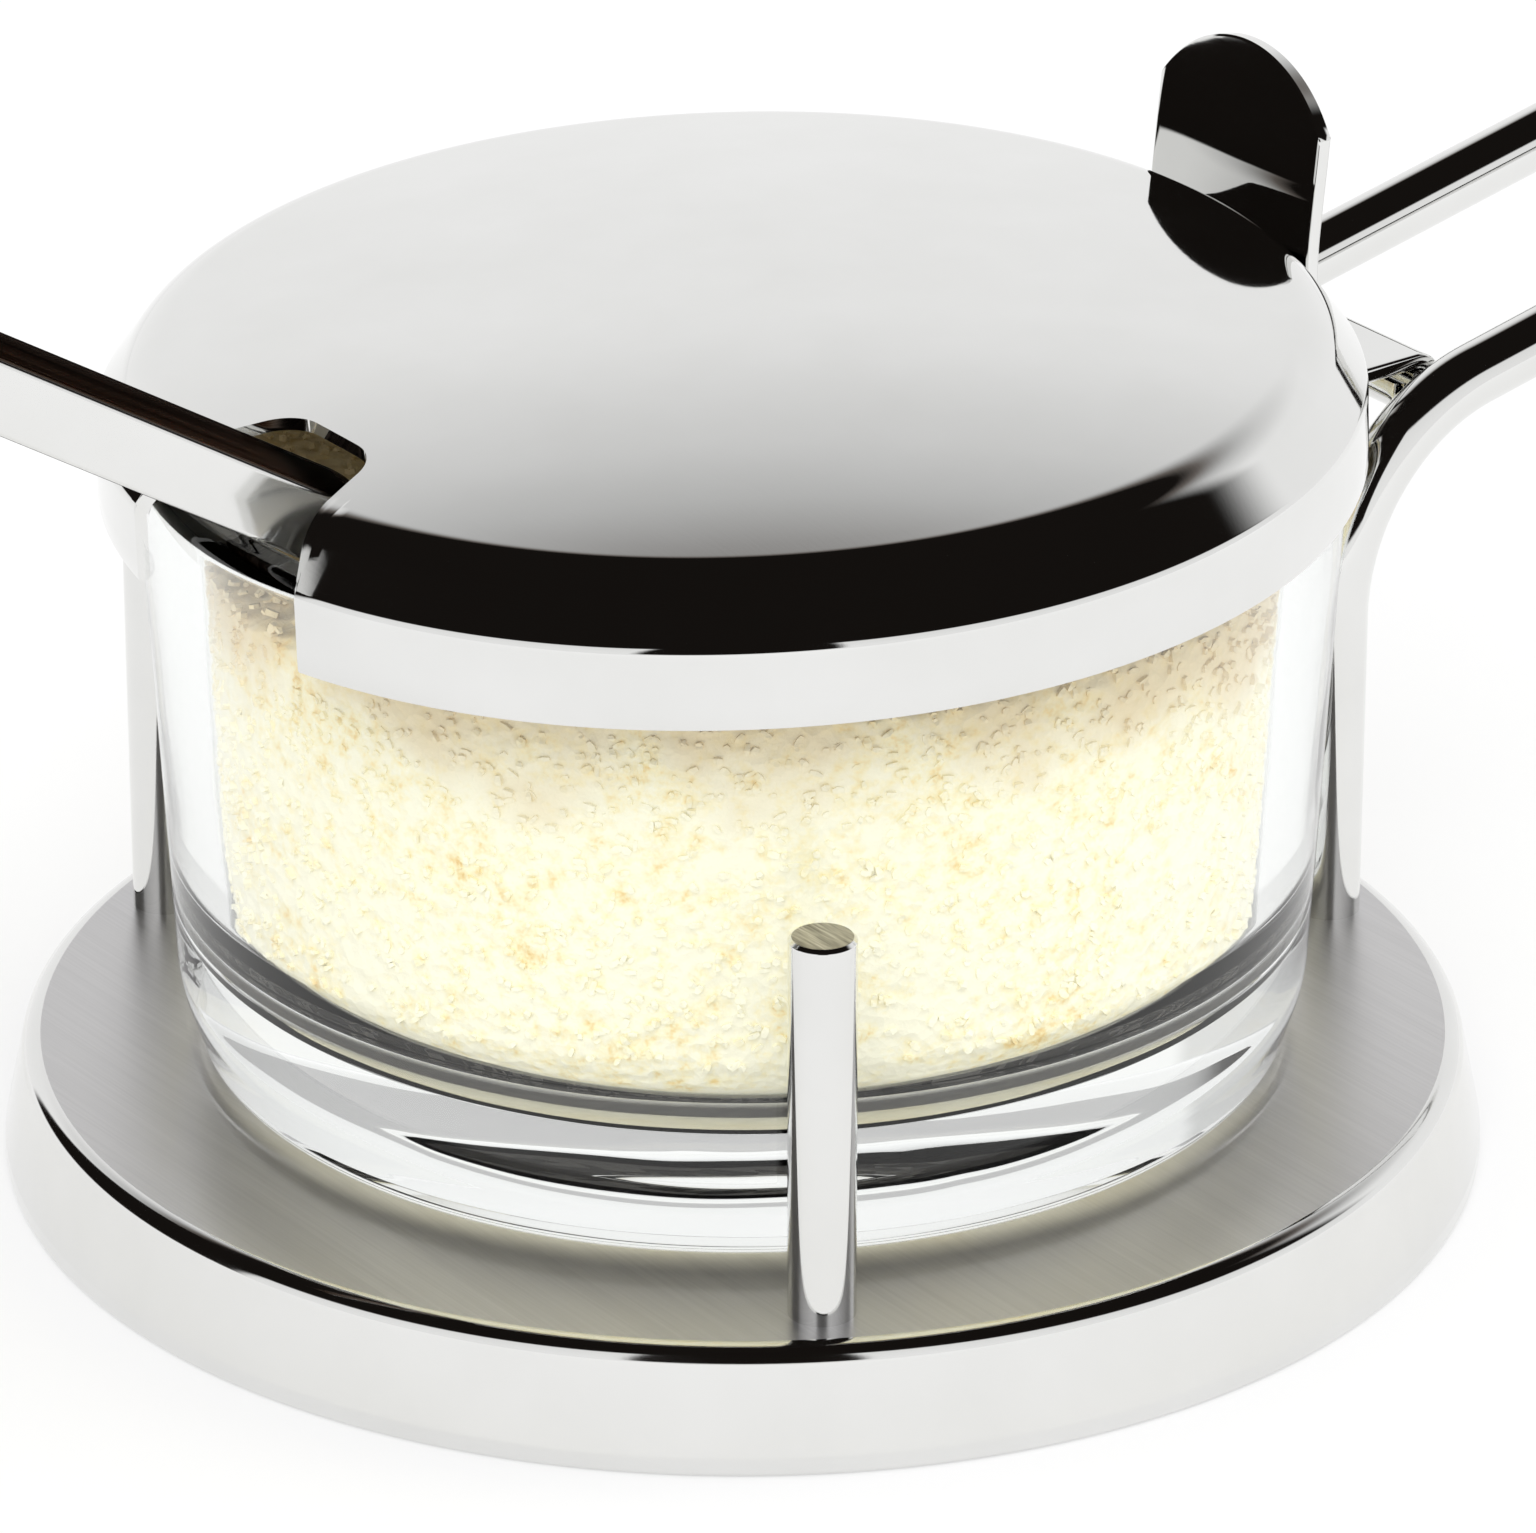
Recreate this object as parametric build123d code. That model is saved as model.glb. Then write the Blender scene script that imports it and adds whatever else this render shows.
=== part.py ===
from build123d import *
import math
import os

# Table cheese pot: a glass bowl stands on a pressed steel base between four rods.
# Two rods are short posts, and the other two are the legs of one bent wire handle.
# A domed lid swings up on a strap that is rolled round a pin between the wires.
# The strap also rises above the lid as a thumb lever, and a spoon leans in the lid's notch.
# Frame: origin at the centre of the base on the table, +Z up, +X out along the handle.
# Lengths are millimetres and angles are degrees.

# Glass bowl
glass_rim_r = 48.0
glass_low_inset = 2.4
glass_foot_inset = 1.9
glass_low_rise = 6.0
glass_wall = 4.4
glass_floor = 8.5
glass_top_z = 62.4
glass_inner_corner_r = 9.0
glass_foot_corner_r = 2.4
glass_lip_r = 1.6

# Rods, which stand clear of the glass
rod_d = 5.3
rod_glass_gap = 1.75
post_height = 31.6
post_angle = 120.0
post_top_chamfer = 0.3

# Base plate, which reaches past the rods
base_margin = 4.95
base_flare = 1.8
base_height = 10.1
base_sheet = 1.2
base_corner_r = 1.6
base_hem_height = 1.6

# Handle wire
handle_half_gap = 13.3
bend_r = 18.0
bend_start_z = 36.8
handle_rise = 11.5
handle_reach = 128.0

# Screws under the base, one in the foot of each rod
screw_d = 3.0
screw_length = 7.0
screw_head_d = 5.6
screw_head_height = 1.4
screw_slot_width = 0.8
screw_slot_depth = 0.6

# Lid
lid_glass_gap = 1.1
lid_centre_x = -0.9
lid_overlap = 3.6
lid_tilt = 2.0
lid_sheet = 1.0
lid_skirt_height = 5.6
lid_bevel = 0.5
lid_shoulder_r = 5.2
lid_edge_slope = 9.0

# Spoon notch in the lid
notch_half_width = 9.4
notch_depth = 13.0
notch_end_half_width = 5.4
notch_end_r = 4.0
notch_flare_r = 5.0
notch_flare_run = 3.2
notch_flare_spread = 5.0

# Hinge pin and the strap that turns on it
pin_d = 2.5
pin_angle = 66.4
pin_grip = 1.5
pin_clearance = 0.05
strap_sheet = 1.3
strap_half_width = 10.2
strap_bend_r = 1.6
strap_lid_gap = 0.1
strap_straight_rise = 12.0
lever_lean = 6.0
lever_rise = 20.2
lever_round = 5.6

# Spoon
spoon_bar_width = 8.0
spoon_bar_height = 5.6
spoon_bar_edge = 0.5
spoon_heading = 159.0
spoon_slope = 29.0
spoon_cross_inset = 6.5
spoon_cross_y = 1.0
spoon_rim_gap = 0.15
spoon_outer_length = 75.0
spoon_kink_run = 3.5
spoon_kink_r = 5.0
spoon_shank_length = 16.0
spoon_shank_slope = 60.0
scoop_neck_length = 12.0
scoop_neck_width = 5.6
scoop_neck_sheet = 2.0
scoop_slope = 26.0
scoop_length = 31.0
scoop_width = 21.0
scoop_depth = 6.5
scoop_sheet = 1.2

# Radii and heights that follow from the glass bowl
rod_r = rod_d / 2
rod_circle_r = glass_rim_r + rod_glass_gap + rod_r
base_rim_r = rod_circle_r + rod_r + base_margin
base_top_r = base_rim_r - base_flare
glass_low_r = glass_rim_r - glass_low_inset
glass_foot_r = glass_low_r - glass_foot_inset
lid_r = glass_rim_r + lid_glass_gap + lid_sheet
lid_low_z = glass_top_z - lid_overlap
lever_top_z = glass_top_z + lever_rise
lever_side_z = lever_top_z - lever_round
spoon_cross_x = spoon_cross_inset - glass_rim_r

# Distance within which a corner is taken to be the one that is named
match_tolerance = 0.01

# A length that reaches right through any piece
through_length = 2 * base_rim_r

# Derived places
handle_leg_x = math.sqrt(rod_circle_r**2 - handle_half_gap**2)
bend_centre_x = handle_leg_x + bend_r
bend_turn = 90.0 - handle_rise
pin_x = bend_centre_x - bend_r * math.cos(math.radians(pin_angle))
pin_z = bend_start_z + bend_r * math.sin(math.radians(pin_angle))
pin_r = pin_d / 2
knuckle_bore_r = pin_r + pin_clearance
knuckle_r = knuckle_bore_r + strap_sheet
base_under_z = base_height - base_sheet
glass_floor_z = base_height + glass_floor
strap_face_x = lid_centre_x + lid_r + strap_lid_gap


def polar(radius, angle, z=0.0):
    """A point at a radius and an angle about the upright axis."""
    turn = math.radians(angle)
    return (radius * math.cos(turn), radius * math.sin(turn), z)


def turned(profile):
    """A solid turned about the upright axis from a face in the XZ plane."""
    return revolve(profile, Axis.Z, 360)


def at_x(profile, x):
    """The corners of a sketch that lie at one distance from the upright axis."""
    return [corner for corner in profile.vertices() if abs(corner.X - x) < match_tolerance]


def rod_feet():
    """The four places on the base where a rod stands."""
    posts = [polar(rod_circle_r, side * post_angle) for side in (-1, 1)]
    legs = [(handle_leg_x, side * handle_half_gap, 0.0) for side in (-1, 1)]
    return posts + legs


def make_base_plate():
    """A pressed disc with a flared skirt and a hemmed rim, open underneath."""
    skirt_run = base_rim_r - base_top_r
    with BuildSketch(Plane.XZ) as profile:
        with BuildLine():
            Polyline(
                (0, base_under_z),
                (0, base_height),
                (base_top_r, base_height),
                (base_rim_r, base_hem_height),
                (base_rim_r, 0),
                (base_rim_r - 2 * base_sheet, 0),
                (base_rim_r - 2 * base_sheet, base_hem_height),
                (base_rim_r - base_sheet, base_hem_height),
                (base_top_r - base_sheet - skirt_run * base_sheet / base_height, base_under_z),
                close=True,
            )
        make_face()
        fillet(at_x(profile, base_top_r), base_corner_r)
    plate = turned(profile.sketch)
    for foot in rod_feet():
        plate -= Pos(foot[0], foot[1], base_under_z) * Cylinder(
            screw_d / 2, base_sheet, align=(Align.CENTER, Align.CENTER, Align.MIN)
        )
    return plate


def rod_bore(foot):
    """The blind hole in a rod's foot that the base screw fills."""
    depth = screw_length - base_sheet
    return Pos(foot[0], foot[1], base_height) * Cylinder(
        screw_d / 2, depth, align=(Align.CENTER, Align.CENTER, Align.MIN)
    )


def make_post(foot):
    """A short upright rod that keeps the bowl from sliding off the base."""
    post = Pos(foot[0], foot[1], base_height) * Cylinder(
        rod_r, post_height, align=(Align.CENTER, Align.CENTER, Align.MIN)
    )
    post = chamfer(post.edges().sort_by(Axis.Z)[-1], post_top_chamfer)
    return post - rod_bore(foot)


def make_base_screws():
    """Four slotted screws that hold the rods from under the base."""
    centred = (Align.CENTER, Align.CENTER, Align.MIN)
    screws = []
    for foot in rod_feet():
        head = Cylinder(screw_head_d / 2, screw_head_height, align=centred)
        slot = Box(screw_head_d, screw_slot_width, screw_slot_depth, align=centred)
        shank = Pos(0, 0, screw_head_height) * Cylinder(screw_d / 2, screw_length, align=centred)
        screws.append(Pos(foot[0], foot[1], base_under_z - screw_head_height) * (head - slot + shank))
    return Compound(children=screws)


def make_handle():
    """One wire: two legs bend outwards and join in a round loop."""
    rise = math.radians(handle_rise)
    half_gap = handle_half_gap
    run_start_x = bend_centre_x - bend_r * math.cos(math.radians(bend_turn))
    run_start_z = bend_start_z + bend_r * math.sin(math.radians(bend_turn))
    loop_x = handle_reach - rod_r - half_gap * math.cos(rise)
    loop_z = run_start_z + (loop_x - run_start_x) * math.tan(rise)
    bend_mid = math.radians(bend_turn / 2)
    bend_mid_x = bend_centre_x - bend_r * math.cos(bend_mid)
    bend_mid_z = bend_start_z + bend_r * math.sin(bend_mid)
    tip = (loop_x + half_gap * math.cos(rise), 0, loop_z + half_gap * math.sin(rise))

    def leg_edges(side):
        y = side * half_gap
        foot = (handle_leg_x, y, base_height)
        start = (handle_leg_x, y, bend_start_z)
        run = (run_start_x, y, run_start_z)
        return [
            Line(foot, start),
            ThreePointArc(start, (bend_mid_x, y, bend_mid_z), run),
            Line(run, (loop_x, y, loop_z)),
        ]

    loop = ThreePointArc((loop_x, -half_gap, loop_z), tip, (loop_x, half_gap, loop_z))
    path = Wire(leg_edges(-1) + [loop] + leg_edges(1))
    section = Plane(origin=(handle_leg_x, -half_gap, base_height), z_dir=(0, 0, 1)) * Circle(rod_r)
    wire = sweep(section, path=path)
    for side in (-1, 1):
        wire -= rod_bore((handle_leg_x, side * half_gap, 0.0))
    return wire - make_hinge_pin()


def make_hinge_pin():
    """The cross pin, let into the inner side of both handle wires."""
    half_length = handle_half_gap - rod_r + pin_grip
    return Pos(pin_x, 0, pin_z) * Rot(90, 0, 0) * Cylinder(pin_r, 2 * half_length)


def make_glass_bowl():
    """A heavy turned glass with a thick floor and a slightly flared wall."""
    low_z = base_height + glass_low_rise
    wall_lean = (glass_rim_r - glass_low_r) / (glass_top_z - low_z)
    inner_low_r = glass_low_r - glass_wall + wall_lean * (glass_floor_z - low_z)
    with BuildSketch(Plane.XZ) as profile:
        with BuildLine():
            Polyline(
                (0, base_height),
                (glass_foot_r, base_height),
                (glass_low_r, low_z),
                (glass_rim_r, glass_top_z),
                (glass_rim_r - glass_wall, glass_top_z),
                (inner_low_r, glass_floor_z),
                (0, glass_floor_z),
                close=True,
            )
        make_face()
        fillet(at_x(profile, glass_foot_r), glass_foot_corner_r)
        fillet(at_x(profile, inner_low_r), glass_inner_corner_r)
        fillet(at_x(profile, glass_rim_r) + at_x(profile, glass_rim_r - glass_wall), glass_lip_r)
    return turned(profile.sketch)


def lid_outline(inset):
    """Half section of the lid in its own frame, with every face moved in by an inset."""
    slope = math.radians(lid_edge_slope)
    corner_x = lid_r - lid_bevel - lid_shoulder_r
    corner_z = lid_skirt_height + lid_bevel
    corner_r = lid_shoulder_r - inset
    dome_edge_x = corner_x + lid_shoulder_r * math.sin(slope)
    dome_r = dome_edge_x / math.sin(slope)
    dome_centre_z = corner_z + lid_shoulder_r * math.cos(slope) - dome_r * math.cos(slope)
    inner_dome_r = dome_r - inset

    def corner_point(angle):
        return (corner_x + corner_r * math.sin(angle), corner_z + corner_r * math.cos(angle))

    def dome_point(angle):
        return (inner_dome_r * math.sin(angle), dome_centre_z + inner_dome_r * math.cos(angle))

    with BuildSketch(Plane.XZ) as profile:
        with BuildLine():
            Polyline((0, dome_centre_z + inner_dome_r), (0, 0), (lid_r - inset, 0),
                     (lid_r - inset, lid_skirt_height), (corner_x + corner_r, corner_z))
            ThreePointArc((corner_x + corner_r, corner_z),
                          corner_point((math.radians(90) + slope) / 2), corner_point(slope))
            ThreePointArc(corner_point(slope), dome_point(slope / 2), dome_point(0))
        make_face()
    return profile.sketch


def notch_cutter():
    """The upright bell-shaped slot through which the spoon leaves the closed lid."""
    mouth_x = -(lid_r + notch_flare_run)
    flare_x = -(lid_r - notch_flare_run)
    end_x = -(lid_r - notch_depth)
    mouth_half = notch_half_width + notch_flare_spread
    with BuildSketch() as slot:
        with BuildLine():
            Polyline(
                (mouth_x, -mouth_half),
                (flare_x, -notch_half_width),
                (end_x, -notch_end_half_width),
                (end_x, notch_end_half_width),
                (flare_x, notch_half_width),
                (mouth_x, mouth_half),
                close=True,
            )
        make_face()
        fillet(at_x(slot, flare_x), notch_flare_r)
        fillet(at_x(slot, end_x), notch_end_r)
    return extrude(slot.sketch, through_length, both=True)


def make_lid():
    """A domed steel lid with a skirt, a rounded shoulder and the spoon notch."""
    lid = turned(lid_outline(0)) - turned(lid_outline(lid_sheet)) - notch_cutter()
    return Pos(lid_centre_x, 0, lid_low_z) * Rot(0, -lid_tilt, 0) * lid


def make_thumb_lever():
    """One bent strap: knuckle, leaf under the lid, back plate and thumb lever."""
    leaf_low = pin_z + knuckle_bore_r
    leaf_high = pin_z + knuckle_r
    straight_top = leaf_high + strap_straight_rise
    lean = math.tan(math.radians(lever_lean))
    lever_shift = (lever_top_z - straight_top) * lean
    face = strap_face_x
    back = strap_face_x + strap_sheet
    with BuildSketch(Plane.XZ) as profile:
        with BuildLine():
            Polyline(
                (pin_x, leaf_low),
                (face, leaf_low),
                (face, straight_top),
                (face + lever_shift, lever_top_z),
                (back + lever_shift, lever_top_z),
                (back, straight_top),
                (back, leaf_high),
                (pin_x, leaf_high),
                close=True,
            )
        make_face()
        inner_bend = [v for v in at_x(profile, back) if abs(v.Z - leaf_high) < match_tolerance]
        outer_bend = [v for v in at_x(profile, face) if abs(v.Z - leaf_low) < match_tolerance]
        fillet(inner_bend, strap_bend_r - strap_sheet / 2)
        fillet(outer_bend, strap_bend_r + strap_sheet / 2)
    strap = extrude(profile.sketch, strap_half_width, both=True)
    knuckle = Pos(pin_x, 0, pin_z) * Rot(90, 0, 0) * Cylinder(knuckle_r, 2 * strap_half_width)
    bore = Pos(pin_x, 0, pin_z) * Rot(90, 0, 0) * Cylinder(knuckle_bore_r, through_length)
    with BuildSketch(Plane.YZ) as front:
        with BuildLine():
            Polyline(
                (strap_half_width, lever_side_z),
                (strap_half_width, 0),
                (-strap_half_width, 0),
                (-strap_half_width, lever_side_z),
            )
            ThreePointArc(
                (-strap_half_width, lever_side_z), (0, lever_top_z), (strap_half_width, lever_side_z)
            )
        make_face()
    outline = extrude(front.sketch, through_length)
    return (strap & outline) + knuckle - bore


def spoon_frame():
    """The place on the bar's centre line where the spoon crosses the glass rim."""
    slope = math.radians(spoon_slope)
    heading = math.radians(spoon_heading)
    lip_r = glass_rim_r - glass_wall + glass_lip_r
    lip_z = glass_top_z - glass_lip_r
    lift = glass_lip_r + spoon_rim_gap + spoon_bar_height / 2
    along = spoon_cross_x * math.cos(heading) + spoon_cross_y * math.sin(heading)
    across = spoon_cross_x * math.sin(heading) - spoon_cross_y * math.cos(heading)
    edge_across = abs(across) + spoon_bar_width / 2
    run_to_lip = math.sqrt(lip_r**2 - edge_across**2) - along
    cross_z = lip_z + lift / math.cos(slope) - run_to_lip * math.tan(slope)
    return Pos(spoon_cross_x, spoon_cross_y, cross_z) * Rot(0, 0, spoon_heading)


def spoon_points():
    """Outer end, kink, shank end and neck end of the spoon in its own upright plane."""
    slope = math.radians(spoon_slope)
    shank = math.radians(spoon_shank_slope)
    outer = (spoon_outer_length * math.cos(slope), 0, spoon_outer_length * math.sin(slope))
    kink = (-spoon_kink_run * math.cos(slope), 0, -spoon_kink_run * math.sin(slope))
    shank_end = (
        kink[0] - spoon_shank_length * math.cos(shank), 0, kink[2] - spoon_shank_length * math.sin(shank)
    )
    neck_end = (
        shank_end[0] - scoop_neck_length * math.cos(shank),
        0,
        shank_end[2] - scoop_neck_length * math.sin(shank),
    )
    return outer, kink, shank_end, neck_end


def make_spoon_handle():
    """A rectangular bar that kinks down into the bowl."""
    outer, kink, shank_end, _ = spoon_points()
    path = FilletPolyline(outer, kink, shank_end, radius=spoon_kink_r)
    start = Plane(origin=outer, x_dir=(0, 1, 0), z_dir=path % 0)
    section = start * RectangleRounded(spoon_bar_width, spoon_bar_height, spoon_bar_edge)
    return spoon_frame() * sweep(section, path=path)


def make_spoon_scoop():
    """A flat neck and a shallow oval scoop, welded to the bar's lower end."""
    shank = math.radians(spoon_shank_slope)
    tilt = math.radians(scoop_slope)
    _, _, shank_end, neck_end = spoon_points()
    along = (-math.cos(shank), 0, -math.sin(shank))
    neck_plane = Plane(origin=shank_end, x_dir=(0, 1, 0), z_dir=along)
    neck_length = scoop_neck_length + scoop_sheet
    neck = extrude(neck_plane * Rectangle(scoop_neck_width, scoop_neck_sheet), neck_length)
    half_length = scoop_length / 2
    half_width = scoop_width / 2
    outer = scale(Sphere(1), by=(half_length, half_width, scoop_depth))
    inner = scale(
        Sphere(1), by=(half_length - scoop_sheet, half_width - scoop_sheet, scoop_depth - scoop_sheet)
    )
    below = Pos(0, 0, -scoop_depth / 2) * Box(scoop_length, scoop_width, scoop_depth)
    centre = (
        neck_end[0] - (half_length - scoop_sheet) * math.cos(tilt),
        0,
        neck_end[2] - (half_length - scoop_sheet) * math.sin(tilt),
    )
    place = Pos(*centre) * Rot(0, -scoop_slope, 0)
    scoop = place * ((outer - inner) & below)
    hollow = place * inner
    return spoon_frame() * (scoop + (neck - hollow))


def write_parts():
    """One STEP file for each piece."""
    os.makedirs("parts", exist_ok=True)
    feet = rod_feet()
    pieces = {
        "base_plate": make_base_plate(),
        "base_screws": make_base_screws(),
        "front_post": make_post(feet[0]),
        "side_post": make_post(feet[1]),
        "handle": make_handle(),
        "hinge_pin": make_hinge_pin(),
        "glass_bowl": make_glass_bowl(),
        "lid": make_lid(),
        "thumb_lever": make_thumb_lever(),
        "spoon_handle": make_spoon_handle(),
        "spoon_scoop": make_spoon_scoop(),
    }
    for name, piece in pieces.items():
        export_step(piece, f"parts/{name}.step")
        print(name, round(piece.volume, 1), "mm3")
    print("hinge axis at x", round(pin_x, 3), "z", round(pin_z, 3))


write_parts()
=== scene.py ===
import math

import bmesh
import bpy
import numpy as np
from mathutils import Matrix, Vector


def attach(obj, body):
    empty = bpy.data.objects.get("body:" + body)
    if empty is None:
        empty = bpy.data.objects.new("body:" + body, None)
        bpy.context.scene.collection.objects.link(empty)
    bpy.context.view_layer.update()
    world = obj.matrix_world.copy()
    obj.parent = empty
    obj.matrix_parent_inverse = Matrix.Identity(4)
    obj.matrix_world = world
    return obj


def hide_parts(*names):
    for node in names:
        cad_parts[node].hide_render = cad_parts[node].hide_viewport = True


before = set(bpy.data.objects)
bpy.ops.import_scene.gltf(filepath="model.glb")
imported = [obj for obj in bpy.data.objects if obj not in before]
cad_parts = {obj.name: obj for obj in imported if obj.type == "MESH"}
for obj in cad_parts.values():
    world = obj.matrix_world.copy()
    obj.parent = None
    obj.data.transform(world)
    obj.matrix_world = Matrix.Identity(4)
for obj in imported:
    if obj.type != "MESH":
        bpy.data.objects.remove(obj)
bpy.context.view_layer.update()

bl_info = {
    "name": "Cheese Pot",
    "version": (1, 0, 0),
    "blender": (4, 5, 0),
    "location": "3D View > Sidebar > Cheese Pot",
    "description": "Builds a glass cheese pot with a hinged steel lid, a wire handle and a spoon",
    "category": "Add Mesh",
}

# Shapes are worked out in millimetres, and Blender's own unit is the metre.
MM = 0.001
TURN_STEPS = 256
ARC_STEPS = 14
ARC_MARGIN = 0.25
WELD_DISTANCE = 1e-6

# Base plate
BASE_RIM_R = 60.0
BASE_HEIGHT = 10.1
BASE_SHEET = 1.2
BASE_HEM = 1.6
BASE_TOP_R = 58.2
BASE_INNER_TOP_R = 56.8
BASE_TOP_CORNER_R = 1.6
BASE_SKIRT_CORNER_R = 1.2
BASE_HEM_RADII = (0.5, 0.3, 0.1, 0.3)
BASE_INNER_CORNER_R = 0.6
BRUSHED_R = 56.9

# Rods and the handle wire
ROD_CIRCLE_R = 52.4
POST_ANGLE = 120.0
POST_CHAMFER = 0.3
POST_STEPS = 64
END_DEPTH = 0.02
HANDLE_HALF_GAP = 13.3
BEND_R = 18.0
BEND_START_Z = 36.8
HANDLE_RISE = math.radians(11.5)
HANDLE_REACH = 128.0
HANDLE_LEG_X = math.sqrt(ROD_CIRCLE_R**2 - HANDLE_HALF_GAP**2)
# Points on the wire's leg, bend, run and round end, and round its section
WIRE_POINTS = (12, 40, 24, 61, 49)

# Glass bowl
GLASS_FOOT_R = 43.7
GLASS_LOW_R = 45.6
GLASS_LOW_Z = 16.1
GLASS_WALL = 4.4
GLASS_FLOOR_Z = 18.6
GLASS_INNER_LOW_R = 41.33
GLASS_INNER_CORNER_R = 9.0
GLASS_FOOT_CORNER_R = 2.4
GLASS_LIP_R = 1.6
GLASS_BELLY_R = 12.0
GLASS_STEPS = 320
# Recess under the foot: its radius, the radius where the foot begins, its depth and its two arcs
GLASS_RECESS = (33.0, 37.5, 0.3)
GLASS_RECESS_RADII = (6.0, 1.5)
# Unevenness of the floor: its height, its width, the radius where it ends and over what distance it fades
GLASS_SWAY = 0.06
GLASS_SWAY_CELL = 11.0
GLASS_SWAY_R = 36.0
GLASS_SWAY_FADE = 8.0

# Lid
LID_CENTRE_X = -0.9
LID_LOW_Z = 58.8
LID_TILT = math.radians(2.0)
LID_SHEET = 1.0
LID_SKIRT = 5.6
LID_CORNER_Z = 6.4
LID_BROW_IN = 3.7
LID_BROW_Z = 11.4
LID_CORNER_R = 1.3
LID_BROW_R = 5.0
LID_EDGE_SLOPE = math.radians(8.6)
LID_MIDDLE_DROP = 60.0
NOTCH_HALF_PLAN = ((-53.3, 14.4), (-46.9, 9.4), (-37.1, 5.4))
NOTCH_RADII = (5.0, 4.0)
NOTCH_COLUMNS = 141
REST_COLUMNS = 301
# Rows of the lid's section: the share of its length where each part ends, and the points in that part
LID_ROWS = ((0.83, 40), (0.91, 26), (0.972, 12), (0.994, 22), (1.0, 4))

# Strap, rolled round the hinge pin
PIN_X = 61.478
PIN_Z = 53.295
STRAP_SHEET = 1.3
STRAP_MID_R = 1.95
STRAP_HALF_WIDTH = 10.2
STRAP_BEND_R = 1.6
STRAP_MID_X = 49.95
STRAP_CURL = math.radians(285.0)
LEVER_LEAN_Z = 67.895
LEVER_LEAN_R = 25.0
LEVER_LEAN = math.radians(6.0)
LEVER_SIDE_Z = 77.0
LEVER_STRAIGHT = 8.0
LEVER_TIP_DRAW = 0.2
LEVER_TIP_THICKNESS = 0.75
STRAP_EDGE_R = 0.3
STRAP_EDGE_POINTS = 7
STRAP_FLAT_POINTS = 41

# Spoon
SPOON_BAR = (8.0, 5.6, 0.5)
SPOON_NECK = (5.6, 2.0, 0.5)
SPOON_HEADING = math.radians(159.0)
SPOON_SLOPE = math.radians(29.0)
SPOON_SHANK_SLOPE = math.radians(60.0)
SPOON_CROSS = (-41.5, 1.0)
SPOON_RIM_GAP = 0.15
SPOON_KINK_RUN = 3.5
SPOON_KINK_R = 5.0
SPOON_SHANK = 16.0
SPOON_NECK_LENGTH = 12.0
SCOOP_SLOPE = math.radians(26.0)
SCOOP_HALF = (15.5, 10.5, 6.5)
SCOOP_SHEET = 1.2
SCOOP_COLUMNS = 121
SCOOP_ROWS = 28

# Cheese heap: its gap from the glass, the drop and width of its edge, and how far its middle stands up
CHEESE_GAP = 0.45
CHEESE_EDGE_DROP = 1.0
CHEESE_EDGE_WIDTH = 4.0
CHEESE_EDGE_RADII = (2.0, 6.0)
CHEESE_CROWN = 0.6
CHEESE_STEPS = 350
CHEESE_SPACING = 0.7
# Crumbs on the heap: their two sizes, their height on top, their push against the glass and its slack
CRUMB_CELLS = (1.3, 0.7)
CRUMB_HEIGHT = 0.6
CRUMB_PUSH = 0.22
CRUMB_SLACK = 0.15
# The spoon's hollow and the mounds of the heap's top
HOLLOW_DEPTH = 1.5
HOLLOW_X = -37.0
HOLLOW_SPREAD = 90.0
MOUND_HEIGHT = 0.9
MOUND_WIDTH = 9.0

# Loose flakes: the share of them on the heap's side, their place and the ranges of their half sizes
FLAKE_SIDE_SHARE = 0.62
FLAKE_LOW = 7.5
FLAKE_HIGH = 0.8
FLAKE_LIFT = 0.4
FLAKE_GAP = 0.55
FLAKE_LONG = (0.22, 0.5)
FLAKE_SHORT = (0.16, 0.32)
FLAKE_BEND = (-0.12, 0.16)
FLAKE_THICK = (0.12, 0.24)
FLAKE_END_WIDTH = 0.62


def length_setting(name, description, default, low, high):
    """A length property, given in millimetres."""
    return bpy.props.FloatProperty(name=name, description=description, default=default * MM, min=low * MM,
                                   max=high * MM, unit="LENGTH", precision=4)


class PotSizes(bpy.types.PropertyGroup):
    """Main sizes of the pot that may be changed without spoiling how the pieces fit."""
    rod_diameter: length_setting("Rod diameter", "Thickness of the posts and the handle wire", 5.3, 3, 8)
    post_height: length_setting("Post height", "Height of the two short posts above the base", 31.6, 10, 50)
    glass_top: length_setting("Glass top", "Height of the glass rim above the table", 62.4, 50, 70)
    glass_rim_radius: length_setting("Glass rim radius", "Outer radius of the glass at its rim", 48, 40, 50)
    lid_radius: length_setting("Lid radius", "Outer radius of the lid's skirt", 50.1, 45, 55)
    lever_top: length_setting("Lever top", "Height of the thumb lever above the table", 82.6, 70, 100)
    spoon_reach: length_setting("Spoon reach", "Length of the spoon's bar outside the glass", 75, 30, 120)
    cheese_level: length_setting("Cheese level", "Height of the grated cheese above the table", 57.5, 30, 60)
    flake_count: bpy.props.IntProperty(name="Flakes", description="Number of loose flakes on the cheese",
                                       default=7000, min=0, max=12000)


def linear_colour(code):
    """Linear RGBA of an sRGB hex code: the sRGB curve is undone on each channel."""
    values = np.array([int(code[i:i + 2], 16) for i in (1, 3, 5)]) / 255
    linear = np.where(values <= 0.04045, values / 12.92, ((values + 0.055) / 1.055) ** 2.4)
    return (*linear.tolist(), 1.0)


def colour_setting(name, description, code):
    """A colour property whose default is a hex code."""
    return bpy.props.FloatVectorProperty(name=name, description=description, default=linear_colour(code),
                                         size=4, subtype="COLOR", min=0, max=1)


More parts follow.
